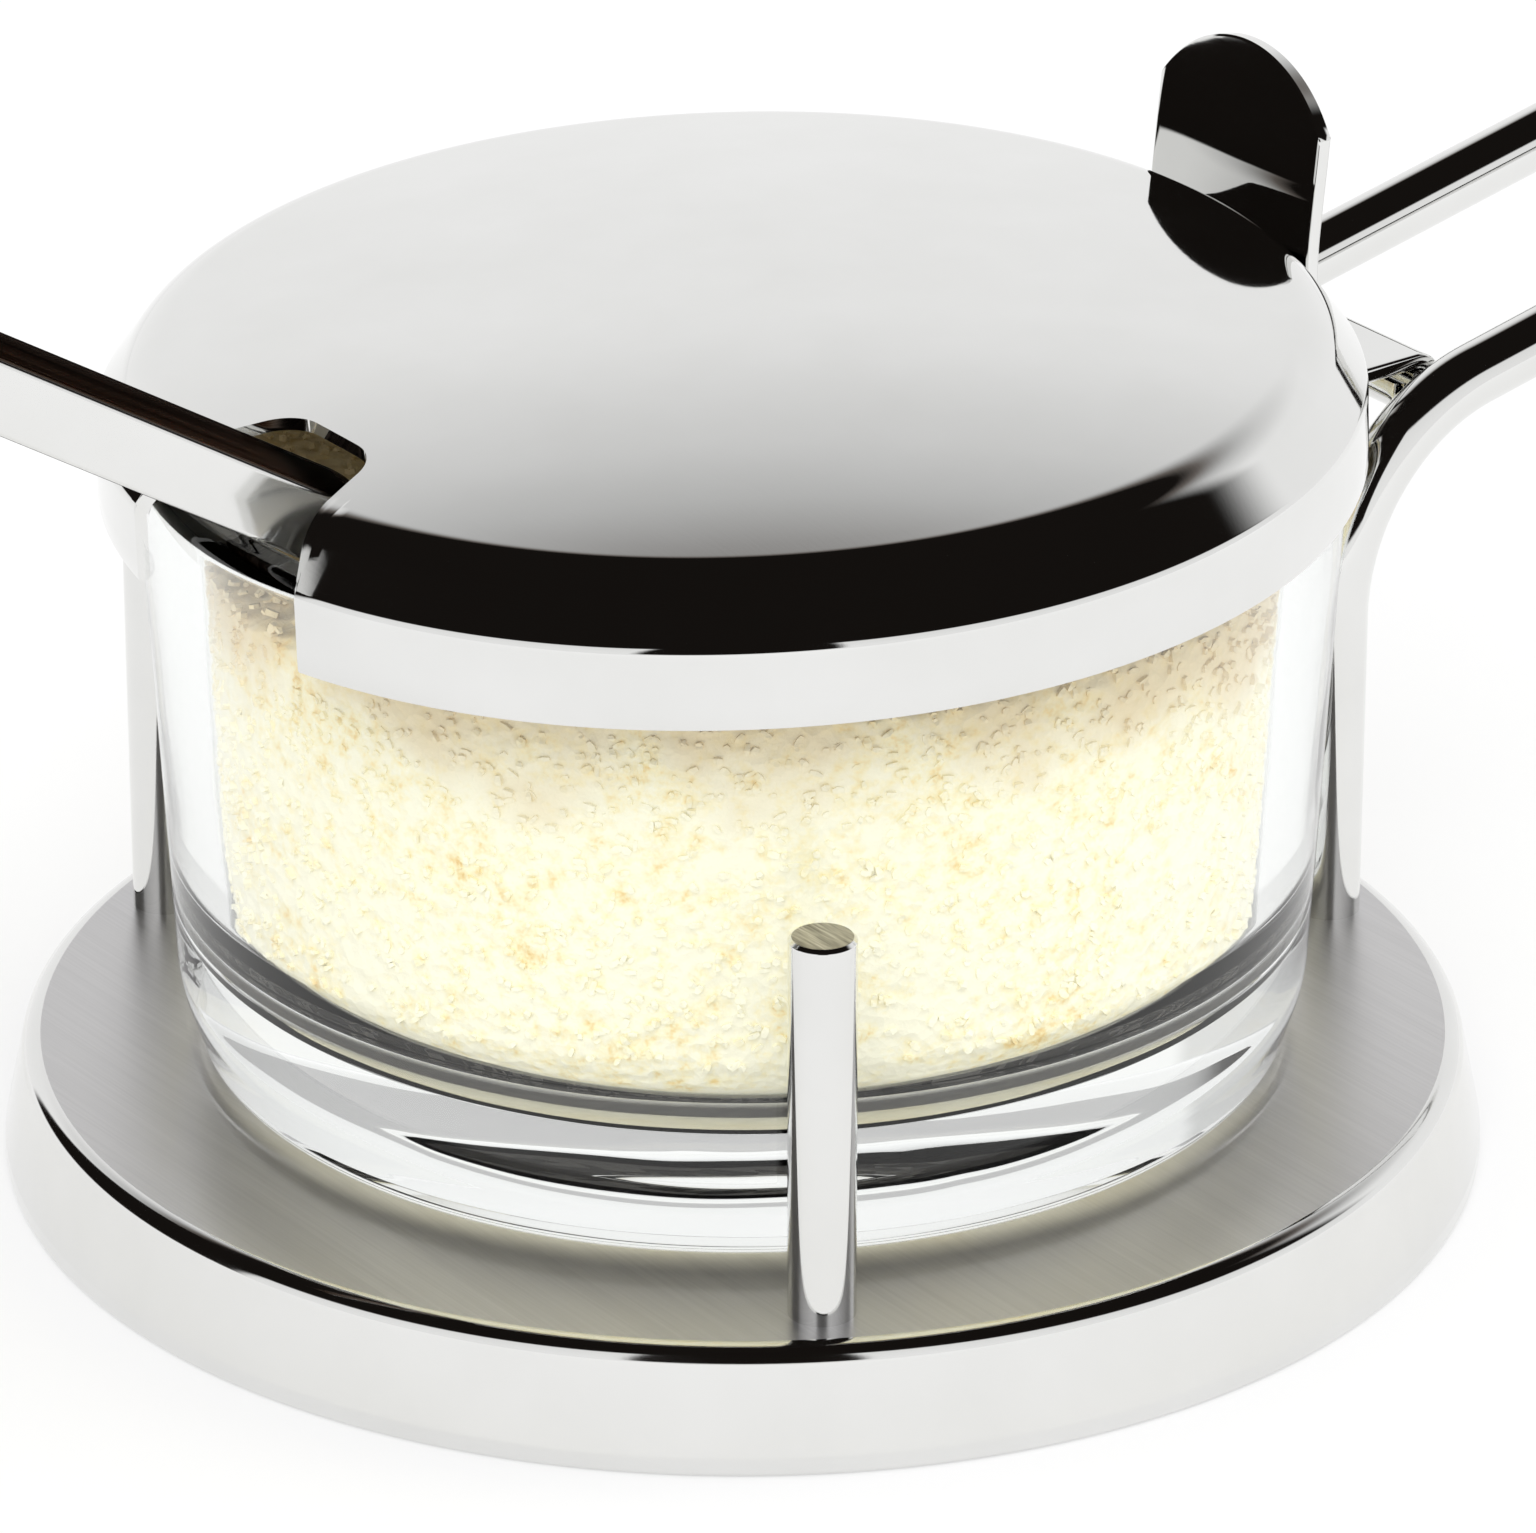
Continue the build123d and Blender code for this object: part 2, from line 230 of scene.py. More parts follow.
class PotColours(bpy.types.PropertyGroup):
    """Main colours of the pot, kept as linear values."""
    steel: colour_setting("Polished steel", "Colour of the mirror polished stainless steel", "#DFDFDD")
    brushed: colour_setting("Brushed steel", "Colour of the brushed base between its lines", "#D8D7D8")
    cheese_light: colour_setting("Cheese", "Colour of most of the grated cheese", "#FFFBE2")
    # Partly the ochre of rind crumbs, partly painted golden shade in the gaps between crumbs
    cheese_rind_and_gap_shade: colour_setting("Cheese rind", "Colour of the darkest crumbs", "#E0B060")
    # Painted shade: this browner colour is laid on the crumbs near the top to stand for the shadow under the
    # lid
    cheese_lid_shade: colour_setting("Dry cheese", "Colour of the dried crumbs near the top", "#DDBF84")


def size(name):
    """One of the main sizes in millimetres."""
    return getattr(bpy.context.scene.pot_sizes, name) / MM


def colour(name):
    """One of the main colours."""
    return tuple(getattr(bpy.context.scene.pot_colours, name))


# Shapes as arrays

def joined(*parts):
    """Coordinates as one array: the parts are spread to the same size and laid along the last axis."""
    return np.stack(np.broadcast_arrays(*parts), axis=-1)


def unit(vectors):
    """The same directions at length one."""
    return vectors / np.linalg.norm(vectors, axis=1)[:, None]


def rounded_profile(corners, radii, steps=ARC_STEPS):
    """Runs between corners, where each inner corner becomes an arc tangent to both of its runs.

    The arc's centre lies on the corner's bisector at radius / sin(half angle), and its points are
    turned from one tangent point to the other by equal angles. One more point on each run, a short
    way outside the arc, keeps the shading of a flat run flat."""
    points = np.asarray(corners, float)
    parts = [points[:1]]
    for before, corner, after, radius in zip(points[:-2], points[1:-1], points[2:], radii):
        if radius <= 0:
            parts.append(corner[None])
            continue
        back = (before - corner) / np.linalg.norm(before - corner)
        on = (after - corner) / np.linalg.norm(after - corner)
        half = np.arccos(np.clip(back @ on, -1, 1)) / 2
        reach = radius / np.tan(half)
        bisector = (back + on) / np.linalg.norm(back + on)
        centre = corner + bisector * radius / np.sin(half)
        sweep = np.pi - 2 * half
        share = np.linspace(0, 1, steps)[:, None]
        start = corner + back * reach - centre
        end = corner + on * reach - centre
        arc = centre + (np.sin((1 - share) * sweep) * start + np.sin(share * sweep) * end) / np.sin(sweep)
        margin = min(ARC_MARGIN, 0.3 * radius)
        parts += [(corner + back * (reach + margin))[None], arc, (corner + on * (reach + margin))[None]]
    parts.append(points[-1:])
    return np.concatenate(parts)


def run_lengths(points):
    """Length along a line of points up to each point."""
    steps = np.linalg.norm(np.diff(points, axis=0), axis=1)
    return np.concatenate([[0.0], np.cumsum(steps)])


def turned_grid(profile, steps=TURN_STEPS):
    """A profile of (radius, height) turned about the upright axis: x = r cos a, y = r sin a, z = height."""
    angle = np.linspace(0, 2 * np.pi, steps + 1)
    radius, height = profile[:, :1], profile[:, 1:]
    grid = joined(radius * np.cos(angle), radius * np.sin(angle), height)
    return grid, joined(angle * np.max(profile[:, 0]), run_lengths(profile)[:, None])


def rounded_section(width, height, edge, steps=6):
    """Closed section of a bar: a rectangle whose corners are quarter circles, first point repeated."""
    quarter = np.linspace(0, np.pi / 2, steps)
    parts = []
    for turn, side_x, side_y in ((0, 1, 1), (1, -1, 1), (2, -1, -1), (3, 1, -1)):
        angle = quarter + turn * np.pi / 2
        parts.append(joined(side_x * (width / 2 - edge) + edge * np.cos(angle),
                            side_y * (height / 2 - edge) + edge * np.sin(angle)))
    loop = np.concatenate(parts)
    return np.concatenate([loop, loop[:1]])


def carried_grid(section, path, across, up):
    """A section carried along a path: point = path + section x * across + section y * up.

    across and up are given for each path point. The first and last sections are drawn in to their
    centre, which closes the ends."""
    grid = (path[:, None, :] + section[None, :, :1] * across[:, None, :]
            + section[None, :, 1:] * up[:, None, :])
    caps = [np.repeat(path[i][None, None, :], section.shape[0], axis=1) for i in (0, -1)]
    length = run_lengths(path)
    length = np.concatenate([length[:1], length, length[-1:]])
    return np.concatenate([caps[0], grid, caps[1]]), joined(run_lengths(section), length[:, None])


def even_points(points, spacing):
    """The same line with a point about every so many millimetres, arcs kept."""
    length = run_lengths(points)
    wanted = np.unique(np.round(np.concatenate([length, np.arange(0, length[-1], spacing)]), 6))
    return joined(*(np.interp(wanted, length, points[:, k]) for k in range(points.shape[1])))


def value_noise(points, cell, seed):
    """Smooth noise from -1 to 1: random values at the corners of cubes, blended with eased weights."""
    rng = np.random.default_rng(seed)
    table = rng.uniform(-1, 1, 4096)
    scaled = np.asarray(points) / cell
    base = np.floor(scaled).astype(np.int64)
    part = scaled - base
    part = part * part * (3 - 2 * part)
    total = np.zeros(scaled.shape[:-1])
    for corner in np.ndindex(2, 2, 2):
        spot = base + np.array(corner)
        key = (spot[..., 0] * 73856093) ^ (spot[..., 1] * 19349663) ^ (spot[..., 2] * 83492791)
        weight = np.prod(np.where(np.array(corner) == 1, part, 1 - part), axis=-1)
        total = total + table[key % table.size] * weight
    return total


# Meshes

def grid_faces(rows, columns, start):
    """Corner numbers of the squares between neighbouring rows and columns of a grid."""
    row, column = np.meshgrid(np.arange(rows - 1), np.arange(columns - 1), indexing="ij")
    first = (start + row * columns + column).ravel()
    return joined(first, first + 1, first + columns + 1, first + columns)


def add_object(name, data):
    """A new object for a mesh, a lamp or a camera, in the scene's own collection."""
    made = bpy.data.objects.new(name, data)
    bpy.context.scene.collection.objects.link(made)
    return made


def turn_outwards(mesh, weld=False):
    """Turns a closed mesh's faces outwards, after merging the points that meet where weld is set."""
    work = bmesh.new()
    work.from_mesh(mesh)
    if weld:
        bmesh.ops.remove_doubles(work, verts=work.verts, dist=WELD_DISTANCE)
        bmesh.ops.dissolve_degenerate(work, edges=work.edges, dist=WELD_DISTANCE)
    bmesh.ops.recalc_face_normals(work, faces=work.faces)
    work.to_mesh(mesh)
    work.free()


def build_piece(name, grids, materials, sharp=35.0, zone=None):
    """A closed mesh from grids of (points, mapping) in millimetres.

    Points that meet are merged, faces are turned outwards, and edges over the sharp angle stay crisp.
    zone gives a material number for each face from its centre and normal."""
    points, mappings, faces, count = [], [], [], 0
    for grid, mapping in grids:
        rows, columns = grid.shape[:2]
        points.append(grid.reshape(-1, 3))
        mappings.append(np.broadcast_to(mapping, (rows, columns, 2)).reshape(-1, 2))
        faces.append(grid_faces(rows, columns, count))
        count += rows * columns
    points, mappings, faces = np.concatenate(points) * MM, np.concatenate(mappings), np.concatenate(faces)
    mesh = bpy.data.meshes.new(name)
    mesh.from_pydata(points.tolist(), [], faces.tolist())
    layer = mesh.uv_layers.new(name="surface_mm")
    layer.data.foreach_set("uv", mappings[faces.ravel()].astype(np.float32).ravel())
    turn_outwards(mesh, weld=True)
    for material in materials:
        mesh.materials.append(material)
    if zone is not None:
        total = len(mesh.polygons)
        centres, normals = np.empty(total * 3), np.empty(total * 3)
        mesh.polygons.foreach_get("center", centres)
        mesh.polygons.foreach_get("normal", normals)
        chosen = zone(centres.reshape(-1, 3) / MM, normals.reshape(-1, 3))
        mesh.polygons.foreach_set("material_index", chosen.astype(np.int32))
    mesh.shade_smooth()
    mesh.set_sharp_from_angle(angle=math.radians(sharp))
    return add_object(name, mesh)


def seat(piece, body, slot, *nodes):
    """Ties a piece to its body and lets it stand for CAD nodes, which are hidden; slot is not used."""
    if nodes:
        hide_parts(*nodes)
    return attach(piece, body)


def dress(node, material):
    """Gives a CAD node that keeps its own mesh a better material."""
    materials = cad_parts[node].data.materials
    materials.clear()
    materials.append(material)


# Materials

def fill(tree, node, inputs):
    """Fills a node's inputs with values or links. A node stands for its first output in use."""
    for key, value in inputs.items():
        if isinstance(value, bpy.types.Node):
            value = next(socket for socket in value.outputs if socket.enabled)
        if isinstance(value, bpy.types.NodeSocket):
            tree.links.new(value, node.inputs[key])
        else:
            node.inputs[key].default_value = value


def add(tree, kind, inputs=None, **settings):
    """Adds a node, sets its settings and fills its inputs with values or links."""
    made = tree.nodes.new(kind)
    for key, value in settings.items():
        setattr(made, key, value)
    fill(tree, made, inputs or {})
    return made


def ramp(tree, factor, stops):
    """A colour ramp through stops of (position, hex code or linear colour)."""
    made = add(tree, "ShaderNodeValToRGB", {"Fac": factor})
    band = made.color_ramp
    places, tones = zip(*stops)
    tones = [linear_colour(tone) if isinstance(tone, str) else tone for tone in tones]
    for end in (0, -1):
        band.elements[end].position, band.elements[end].color = places[end], tones[end]
    for place, tone in list(zip(places, tones))[1:-1]:
        band.elements.new(place).color = tone
    return made


def empty_material(name):
    """A material without nodes."""
    material = bpy.data.materials.new(name)
    material.use_nodes = True
    material.node_tree.nodes.clear()
    return material, material.node_tree


def fresh_material(name):
    """A new material with a shader that is joined to its output."""
    material, tree = empty_material(name)
    shader = add(tree, "ShaderNodeBsdfPrincipled")
    add(tree, "ShaderNodeOutputMaterial", {"Surface": shader})
    return material, tree, shader


def polished_stainless(name, rough_low, rough_high):
    """Stainless steel buffed on a soft wheel.

    It mirrors the room, with a faint cloudiness about a centimetre wide and hairline wipe marks
    about 0.15 mm apart, drawn as coarse as 0.3 mm so that they can show."""
    material, tree, shader = fresh_material(name)
    spot = add(tree, "ShaderNodeTexCoord").outputs["Object"]
    cloud = add(tree, "ShaderNodeTexNoise", {"Vector": spot, "Scale": 90.0, "Detail": 3.0,
                                             "Roughness": 0.55})
    stretch = add(tree, "ShaderNodeMapping", {"Vector": spot, "Rotation": (0.3, 0.2, 0.5),
                                              "Scale": (3300.0, 260.0, 1500.0)})
    hair = add(tree, "ShaderNodeTexNoise", {"Vector": stretch, "Scale": 1.0, "Detail": 2.0})
    rough = add(tree, "ShaderNodeMapRange", {"Value": cloud, "From Min": 0.35, "From Max": 0.65,
                                             "To Min": rough_low, "To Max": rough_high})
    tint = add(tree, "ShaderNodeMix", {"Factor": cloud, "A": colour("steel"), "B": linear_colour("#E8E8E7")},
               data_type="RGBA")
    bump = add(tree, "ShaderNodeBump", {"Height": hair, "Strength": 0.003, "Distance": 0.0002})
    fill(tree, shader, {"Metallic": 1.0, "Base Color": tint, "Roughness": rough, "Normal": bump})
    return material


def brushed_stainless(name, direction, rough_low, rough_high, dark="#DAD9D8", light="#EAEAE9",
                      bump_strength=0.035, metallic=1.0, glint="#FFFFFF"):
    """Stainless steel brushed one way with a fine belt.

    The belt leaves lines about 0.1 mm apart and tens of millimetres long. They are drawn 0.25 mm
    apart so that they can show, and they stretch the reflections across themselves. metallic below
    1 leaves a little matt grey between the lines, and glint tints the reflections at grazing angles."""
    material, tree, shader = fresh_material(name)
    source = add(tree, "ShaderNodeTexCoord")
    spot = source.outputs["UV"] if direction == "along" else source.outputs["Object"]
    fine_scale, broad_scale = {
        "y": ((4000.0, 60.0, 4000.0), (700.0, 22.0, 700.0)),
        "along": ((4.0, 0.05, 4.0), (0.7, 0.02, 0.7)),
    }[direction]
    fine_place = add(tree, "ShaderNodeMapping", {"Vector": spot, "Scale": fine_scale})
    broad_place = add(tree, "ShaderNodeMapping", {"Vector": spot, "Scale": broad_scale})
    fine = add(tree, "ShaderNodeTexNoise", {"Vector": fine_place, "Scale": 1.0, "Detail": 2.0})
    broad = add(tree, "ShaderNodeTexNoise", {"Vector": broad_place, "Scale": 1.0, "Detail": 3.0})
    mixed = add(tree, "ShaderNodeMix", {"Factor": 0.35, "A": fine, "B": broad}, data_type="FLOAT")
    rough = add(tree, "ShaderNodeMapRange", {"Value": mixed, "From Min": 0.3, "From Max": 0.7,
                                             "To Min": rough_low, "To Max": rough_high})
    tint = ramp(tree, mixed, ((0.3, dark), (0.7, light)))
    bump = add(tree, "ShaderNodeBump", {"Height": mixed, "Strength": bump_strength, "Distance": 0.00005})
    fill(tree, shader, {"Metallic": metallic, "Base Color": tint, "Roughness": rough, "Normal": bump,
                        "Specular Tint": linear_colour(glint)})
    return material


def sawn_steel(name):
    """The faced-off end of a rod: slanting scratches about 0.3 mm apart, in satin steel."""
    material, tree, shader = fresh_material(name)
    spot = add(tree, "ShaderNodeTexCoord").outputs["Object"]
    grain = add(tree, "ShaderNodeTexNoise", {"Vector": spot, "Scale": 900.0, "Detail": 4.0})
    scratch_place = add(tree, "ShaderNodeMapping", {"Vector": spot, "Rotation": (0, 0, 0.6),
                                                    "Scale": (3500.0, 300.0, 300.0)})
    scratch = add(tree, "ShaderNodeTexNoise", {"Vector": scratch_place, "Scale": 1.0, "Detail": 3.0})
    tint = ramp(tree, scratch, ((0.3, "#8F8C88"), (0.55, "#C6C3BE"), (0.75, "#E6E4E1")))
    rough = add(tree, "ShaderNodeMapRange", {"Value": grain, "To Min": 0.28, "To Max": 0.5})
    bump = add(tree, "ShaderNodeBump", {"Height": scratch, "Strength": 0.25, "Distance": 0.0001})
    fill(tree, shader, {"Metallic": 1.0, "Base Color": tint, "Roughness": rough, "Normal": bump})
    return material


def pressed_glass(name):
    """Clear soda-lime glass pressed in a mould.

    Thick and almost colourless, with a slow unevenness 15 to 20 mm wide that bends what is seen
    through it, as the cool plunger of the press leaves."""
    material, tree, shader = fresh_material(name)
    spot = add(tree, "ShaderNodeTexCoord").outputs["Object"]
    wave = add(tree, "ShaderNodeTexNoise", {"Vector": spot, "Scale": 55.0, "Detail": 1.0})
    bump = add(tree, "ShaderNodeBump", {"Height": wave, "Strength": 0.06, "Distance": 0.0012})
    fill(tree, shader, {"Base Color": linear_colour("#FBFDFC"), "Roughness": 0.0, "IOR": 1.52,
                        "Transmission Weight": 1.0, "Normal": bump})
    return material


def grated_cheese(name):
    """Dry grated hard cheese.

    Pale cream crumbs 0.5 to 2 mm across, matt, with ochre rind crumbs and painted golden shade in the gaps
    between them. Towards the top of the pot a browner painted shade stands for the lid's shadow."""
    material, tree, shader = fresh_material(name)
    spot = add(tree, "ShaderNodeTexCoord").outputs["Object"]
    crumb = add(tree, "ShaderNodeTexVoronoi", {"Vector": spot, "Scale": 1000.0 / 1.1, "Randomness": 1.0})
    gaps = add(tree, "ShaderNodeTexNoise", {"Vector": spot, "Scale": 1000.0 / 1.6, "Detail": 5.0,
                                            "Roughness": 0.7})
    patch = add(tree, "ShaderNodeTexNoise", {"Vector": spot, "Scale": 1000.0 / 9.0, "Detail": 2.0})
    mottled = add(tree, "ShaderNodeMix", {"Factor": 0.3, "A": gaps, "B": patch}, data_type="FLOAT")
    # The low places of the gap noise take the darker stops: ochre rind crumbs, and painted golden shade in
    # the gaps between crumbs
    tint = ramp(tree, mottled, ((0.27, colour("cheese_rind_and_gap_shade")), (0.35, "#F5DC9C"), (0.42, "#FDF4CB"),
                                (0.52, colour("cheese_light"))))
    # Painted shade: crumbs near the top, along a wandering edge, blend towards a browner colour that stands
    # for the lid's shadow
    rise = add(tree, "ShaderNodeSeparateXYZ", {"Vector": spot}).outputs["Z"]
    wander = add(tree, "ShaderNodeMath", {0: patch, 1: 0.016, 2: rise}, operation="MULTIPLY_ADD")
    lid_shade = add(tree, "ShaderNodeMapRange", {"Value": wander, "From Min": 0.054, "From Max": 0.064,
                                           "To Max": 0.6}, interpolation_type="SMOOTHSTEP")
    tint = add(tree, "ShaderNodeMix", {"Factor": lid_shade, "A": tint, "B": colour("cheese_lid_shade")},
               data_type="RGBA")
    height = add(tree, "ShaderNodeMath", {0: crumb, 1: gaps}, operation="ADD")
    bump = add(tree, "ShaderNodeBump", {"Height": height, "Strength": 0.5, "Distance": 0.0004})
    fill(tree, shader, {"Base Color": tint, "Roughness": 0.8, "Normal": bump, "Specular IOR Level": 0.1})
    return material


# Pieces

class BuildBase(bpy.types.Operator):
    """Build the pressed base plate and dress the screws under it"""
    bl_idname = "pot.build_base"
    bl_label = "Base"

    def execute(self, context):
        folded_r, inner_r = BASE_RIM_R - 2 * BASE_SHEET, BASE_RIM_R - BASE_SHEET
        under = BASE_HEIGHT - BASE_SHEET
        corners = ((0, BASE_HEIGHT), (BASE_TOP_R, BASE_HEIGHT), (BASE_RIM_R, BASE_HEM), (BASE_RIM_R, 0),
                   (folded_r, 0), (folded_r, BASE_HEM), (inner_r, BASE_HEM), (BASE_INNER_TOP_R, under),
                   (0, under))
        radii = (BASE_TOP_CORNER_R, BASE_SKIRT_CORNER_R, *BASE_HEM_RADII, BASE_INNER_CORNER_R)
        profile = even_points(rounded_profile(corners, radii), 6.0)
        brushed = brushed_stainless("belt_brushed_stainless", "y", 0.31, 0.34, "#CCCBCC",
                                    colour("brushed"), metallic=0.88)
        polished = polished_stainless("buffed_stainless_rim", 0.05, 0.09)

        def top_or_rim(centre, normal):
            reach = np.hypot(centre[:, 0], centre[:, 1])
            return np.where((reach < BRUSHED_R) & (centre[:, 2] > BASE_HEIGHT - 0.01), 0, 1)

        plate = build_piece("base_plate_shell", [turned_grid(profile)], (brushed, polished), zone=top_or_rim)
        seat(plate, "stand", "brushed_base", "base_plate")
        dress("base_screws", sawn_steel("turned_screw_steel"))
        return {"FINISHED"}


class BuildPosts(bpy.types.Operator):
    """Build the two short posts"""
    bl_idname = "pot.build_posts"
    bl_label = "Posts"

    def execute(self, context):
        radius = size("rod_diameter") / 2
        top = BASE_HEIGHT + size("post_height")
        corners = ((0, top), (radius - POST_CHAMFER, top), (radius, top - POST_CHAMFER),
                   (radius, BASE_HEIGHT), (0, BASE_HEIGHT))
        profile = even_points(rounded_profile(corners, (0.1, 0.1, 0.0), 5), 3.0)
        steel = polished_stainless("buffed_stainless_post", 0.05, 0.08)
        end = sawn_steel("faced_off_post_end")

        def side_or_end(centre, normal):
            return (centre[:, 2] > top - END_DEPTH).astype(int)

        for side, node in ((-1, "front_post"), (1, "side_post")):
            angle = math.radians(side * POST_ANGLE)
            grid, mapping = turned_grid(profile, POST_STEPS)
            grid = grid + np.array([ROD_CIRCLE_R * math.cos(angle), ROD_CIRCLE_R * math.sin(angle), 0])
            post = build_piece(node + "_rod", [(grid, mapping)], (steel, end), zone=side_or_end)
            seat(post, "stand", "polished_rod", node)
        return {"FINISHED"}


class BuildHandle(bpy.types.Operator):
    """Build the bent wire handle and dress its hinge pin"""
    bl_idname = "pot.build_handle"
    bl_label = "Handle"

    def execute(self, context):
        radius = size("rod_diameter") / 2
        # The wire's middle line goes up the leg, round the bend by equal angles and out along the run.
        # A half circle in the plane of the two runs joins its sides, and pitch is its angle to the level.
        leg_points, bend_points, run_points, end_points, section_points = WIRE_POINTS
        turn = math.radians(90) - HANDLE_RISE
        bend_x = HANDLE_LEG_X + BEND_R
        arc = np.linspace(0, turn, bend_points)
        rise, gap = HANDLE_RISE, HANDLE_HALF_GAP
        run_x = bend_x - BEND_R * math.cos(turn)
        run_z = BEND_START_Z + BEND_R * math.sin(turn)
        loop_x = HANDLE_REACH - radius - gap * math.cos(rise)
        loop_z = run_z + (loop_x - run_x) * math.tan(rise)
        leg_z = np.linspace(BASE_HEIGHT, BEND_START_Z, leg_points)[:-1]
        run = np.linspace(0, 1, run_points)[1:-1]
        leg = np.concatenate([
            joined(np.full(leg_z.size, HANDLE_LEG_X), leg_z),
            joined(bend_x - BEND_R * np.cos(arc), BEND_START_Z + BEND_R * np.sin(arc)),
            joined(run_x + run * (loop_x - run_x), run_z + run * (loop_z - run_z)),
        ])
        pitch = np.concatenate([np.full(leg_z.size, math.pi / 2), math.pi / 2 - arc,
                                np.full(run.size, rise)])
        round_end = np.linspace(-math.pi / 2, math.pi / 2, end_points)
        loop = joined(loop_x + gap * np.cos(round_end) * math.cos(rise), gap * np.sin(round_end),
                      loop_z + gap * np.cos(round_end) * math.sin(rise))
        first = joined(leg[:, 0], np.full(len(leg), -gap), leg[:, 1])
        path = np.concatenate([first, loop, (first * [1, -1, 1])[::-1]])
        pitch = np.concatenate([pitch, np.full(len(loop), rise), pitch[::-1]])
        up = joined(-np.sin(pitch), np.zeros(len(pitch)), np.cos(pitch))
        ahead = unit(np.gradient(path, axis=0))
        across = unit(np.cross(ahead, up))
        angle = np.linspace(0, 2 * np.pi, section_points)
        section = joined(radius * np.cos(angle), radius * np.sin(angle))
        steel = polished_stainless("buffed_stainless_wire", 0.04, 0.07)
        wire = build_piece("handle_wire", [carried_grid(section, path, across, up)], (steel,))
        seat(wire, "stand", "polished_rod", "handle")
        dress("hinge_pin", polished_stainless("hinge_pin_stainless", 0.08, 0.14))
        return {"FINISHED"}


def glass_inner_profile(top):
    """Corner points of the bowl's inner wall from the rim to the middle of the floor."""
    rim_inner = size("glass_rim_radius") - GLASS_WALL
    return ((rim_inner, top), (GLASS_INNER_LOW_R, GLASS_FLOOR_Z), (0, GLASS_FLOOR_Z))


class BuildGlass(bpy.types.Operator):
    """Build the heavy pressed glass bowl"""
    bl_idname = "pot.build_glass"
    bl_label = "Glass bowl"

    def execute(self, context):
        top = size("glass_top")
        rim = size("glass_rim_radius")
        inner = glass_inner_profile(top)
        recess_r, foot_r, depth = GLASS_RECESS
        corners = ((0, BASE_HEIGHT + depth), (recess_r, BASE_HEIGHT + depth), (foot_r, BASE_HEIGHT),
                   (GLASS_FOOT_R, BASE_HEIGHT), (GLASS_LOW_R, GLASS_LOW_Z), (rim, top)) + inner
        radii = (*GLASS_RECESS_RADII, GLASS_FOOT_CORNER_R, GLASS_BELLY_R, GLASS_LIP_R, GLASS_LIP_R,
                 GLASS_INNER_CORNER_R)
        profile = even_points(rounded_profile(corners, radii, 22), 1.5)
        grid, mapping = turned_grid(profile, GLASS_STEPS)
        reach = np.hypot(grid[..., 0], grid[..., 1])
        floor = (np.abs(grid[..., 2] - GLASS_FLOOR_Z) < 0.5) & (reach < GLASS_SWAY_R)
        under = (grid[..., 2] < BASE_HEIGHT + 1.0) & (reach < recess_r)
        sway = value_noise(grid * [1, 1, 0], GLASS_SWAY_CELL, 5)
        fade = np.clip((GLASS_SWAY_R - reach) / GLASS_SWAY_FADE, 0, 1)
        grid[..., 2] += np.where(floor | under, GLASS_SWAY * sway * fade, 0)
        bowl = build_piece("glass_bowl_wall", [(grid, mapping)], (pressed_glass("pressed_soda_lime_glass"),))
        bowl.visible_shadow = False
        bowl.visible_diffuse = False
        seat(bowl, "bowl", "clear_glass", "glass_bowl")
        return {"FINISHED"}


def notch_edge():
    """Angle from the notch's middle and distance from the lid's centre along the notch's edge."""
    half = np.array(NOTCH_HALF_PLAN)
    plan = np.concatenate([half, (half * [1, -1])[::-1]])
    edge = even_points(rounded_profile(plan, NOTCH_RADII + NOTCH_RADII[::-1], 24), 0.2)
    angle = np.arctan2(edge[:, 1], -edge[:, 0])
    order = np.argsort(angle)
    return angle[order], np.hypot(edge[:, 0], edge[:, 1])[order]


def lid_half_section(inset, radius):
    """The lid's half section from its middle to its skirt, set in along its normals.

    A dome arc meets a brow arc at the edge slope, a steep run leads from it to a tight corner arc, and
    the skirt falls from there."""
    slope = LID_EDGE_SLOPE
    corner = np.array([radius, LID_CORNER_Z])
    brow = np.array([radius - LID_BROW_IN, LID_BROW_Z])
    steep = math.atan2(brow[1] - corner[1], corner[0] - brow[0])
    reach = LID_BROW_R * math.tan((steep - slope) / 2) + 0.5
    start = brow + reach * np.array([-math.cos(slope), math.sin(slope)])
    dome_r = start[0] / math.sin(slope)
    dome = np.linspace(0, slope, 400)[:-1]
    crown = joined(dome_r * np.sin(dome), start[1] + dome_r * (np.cos(dome) - math.cos(slope)))
    edge = rounded_profile((start, brow, corner, (radius, LID_SKIRT)), (LID_BROW_R, LID_CORNER_R), 120)
    outer = np.concatenate([crown, edge])
    ahead = unit(np.gradient(outer, run_lengths(outer), axis=0))
    ahead[-1] = (0, -1)
    return outer - inset * joined(-ahead[:, 1], ahead[:, 0])


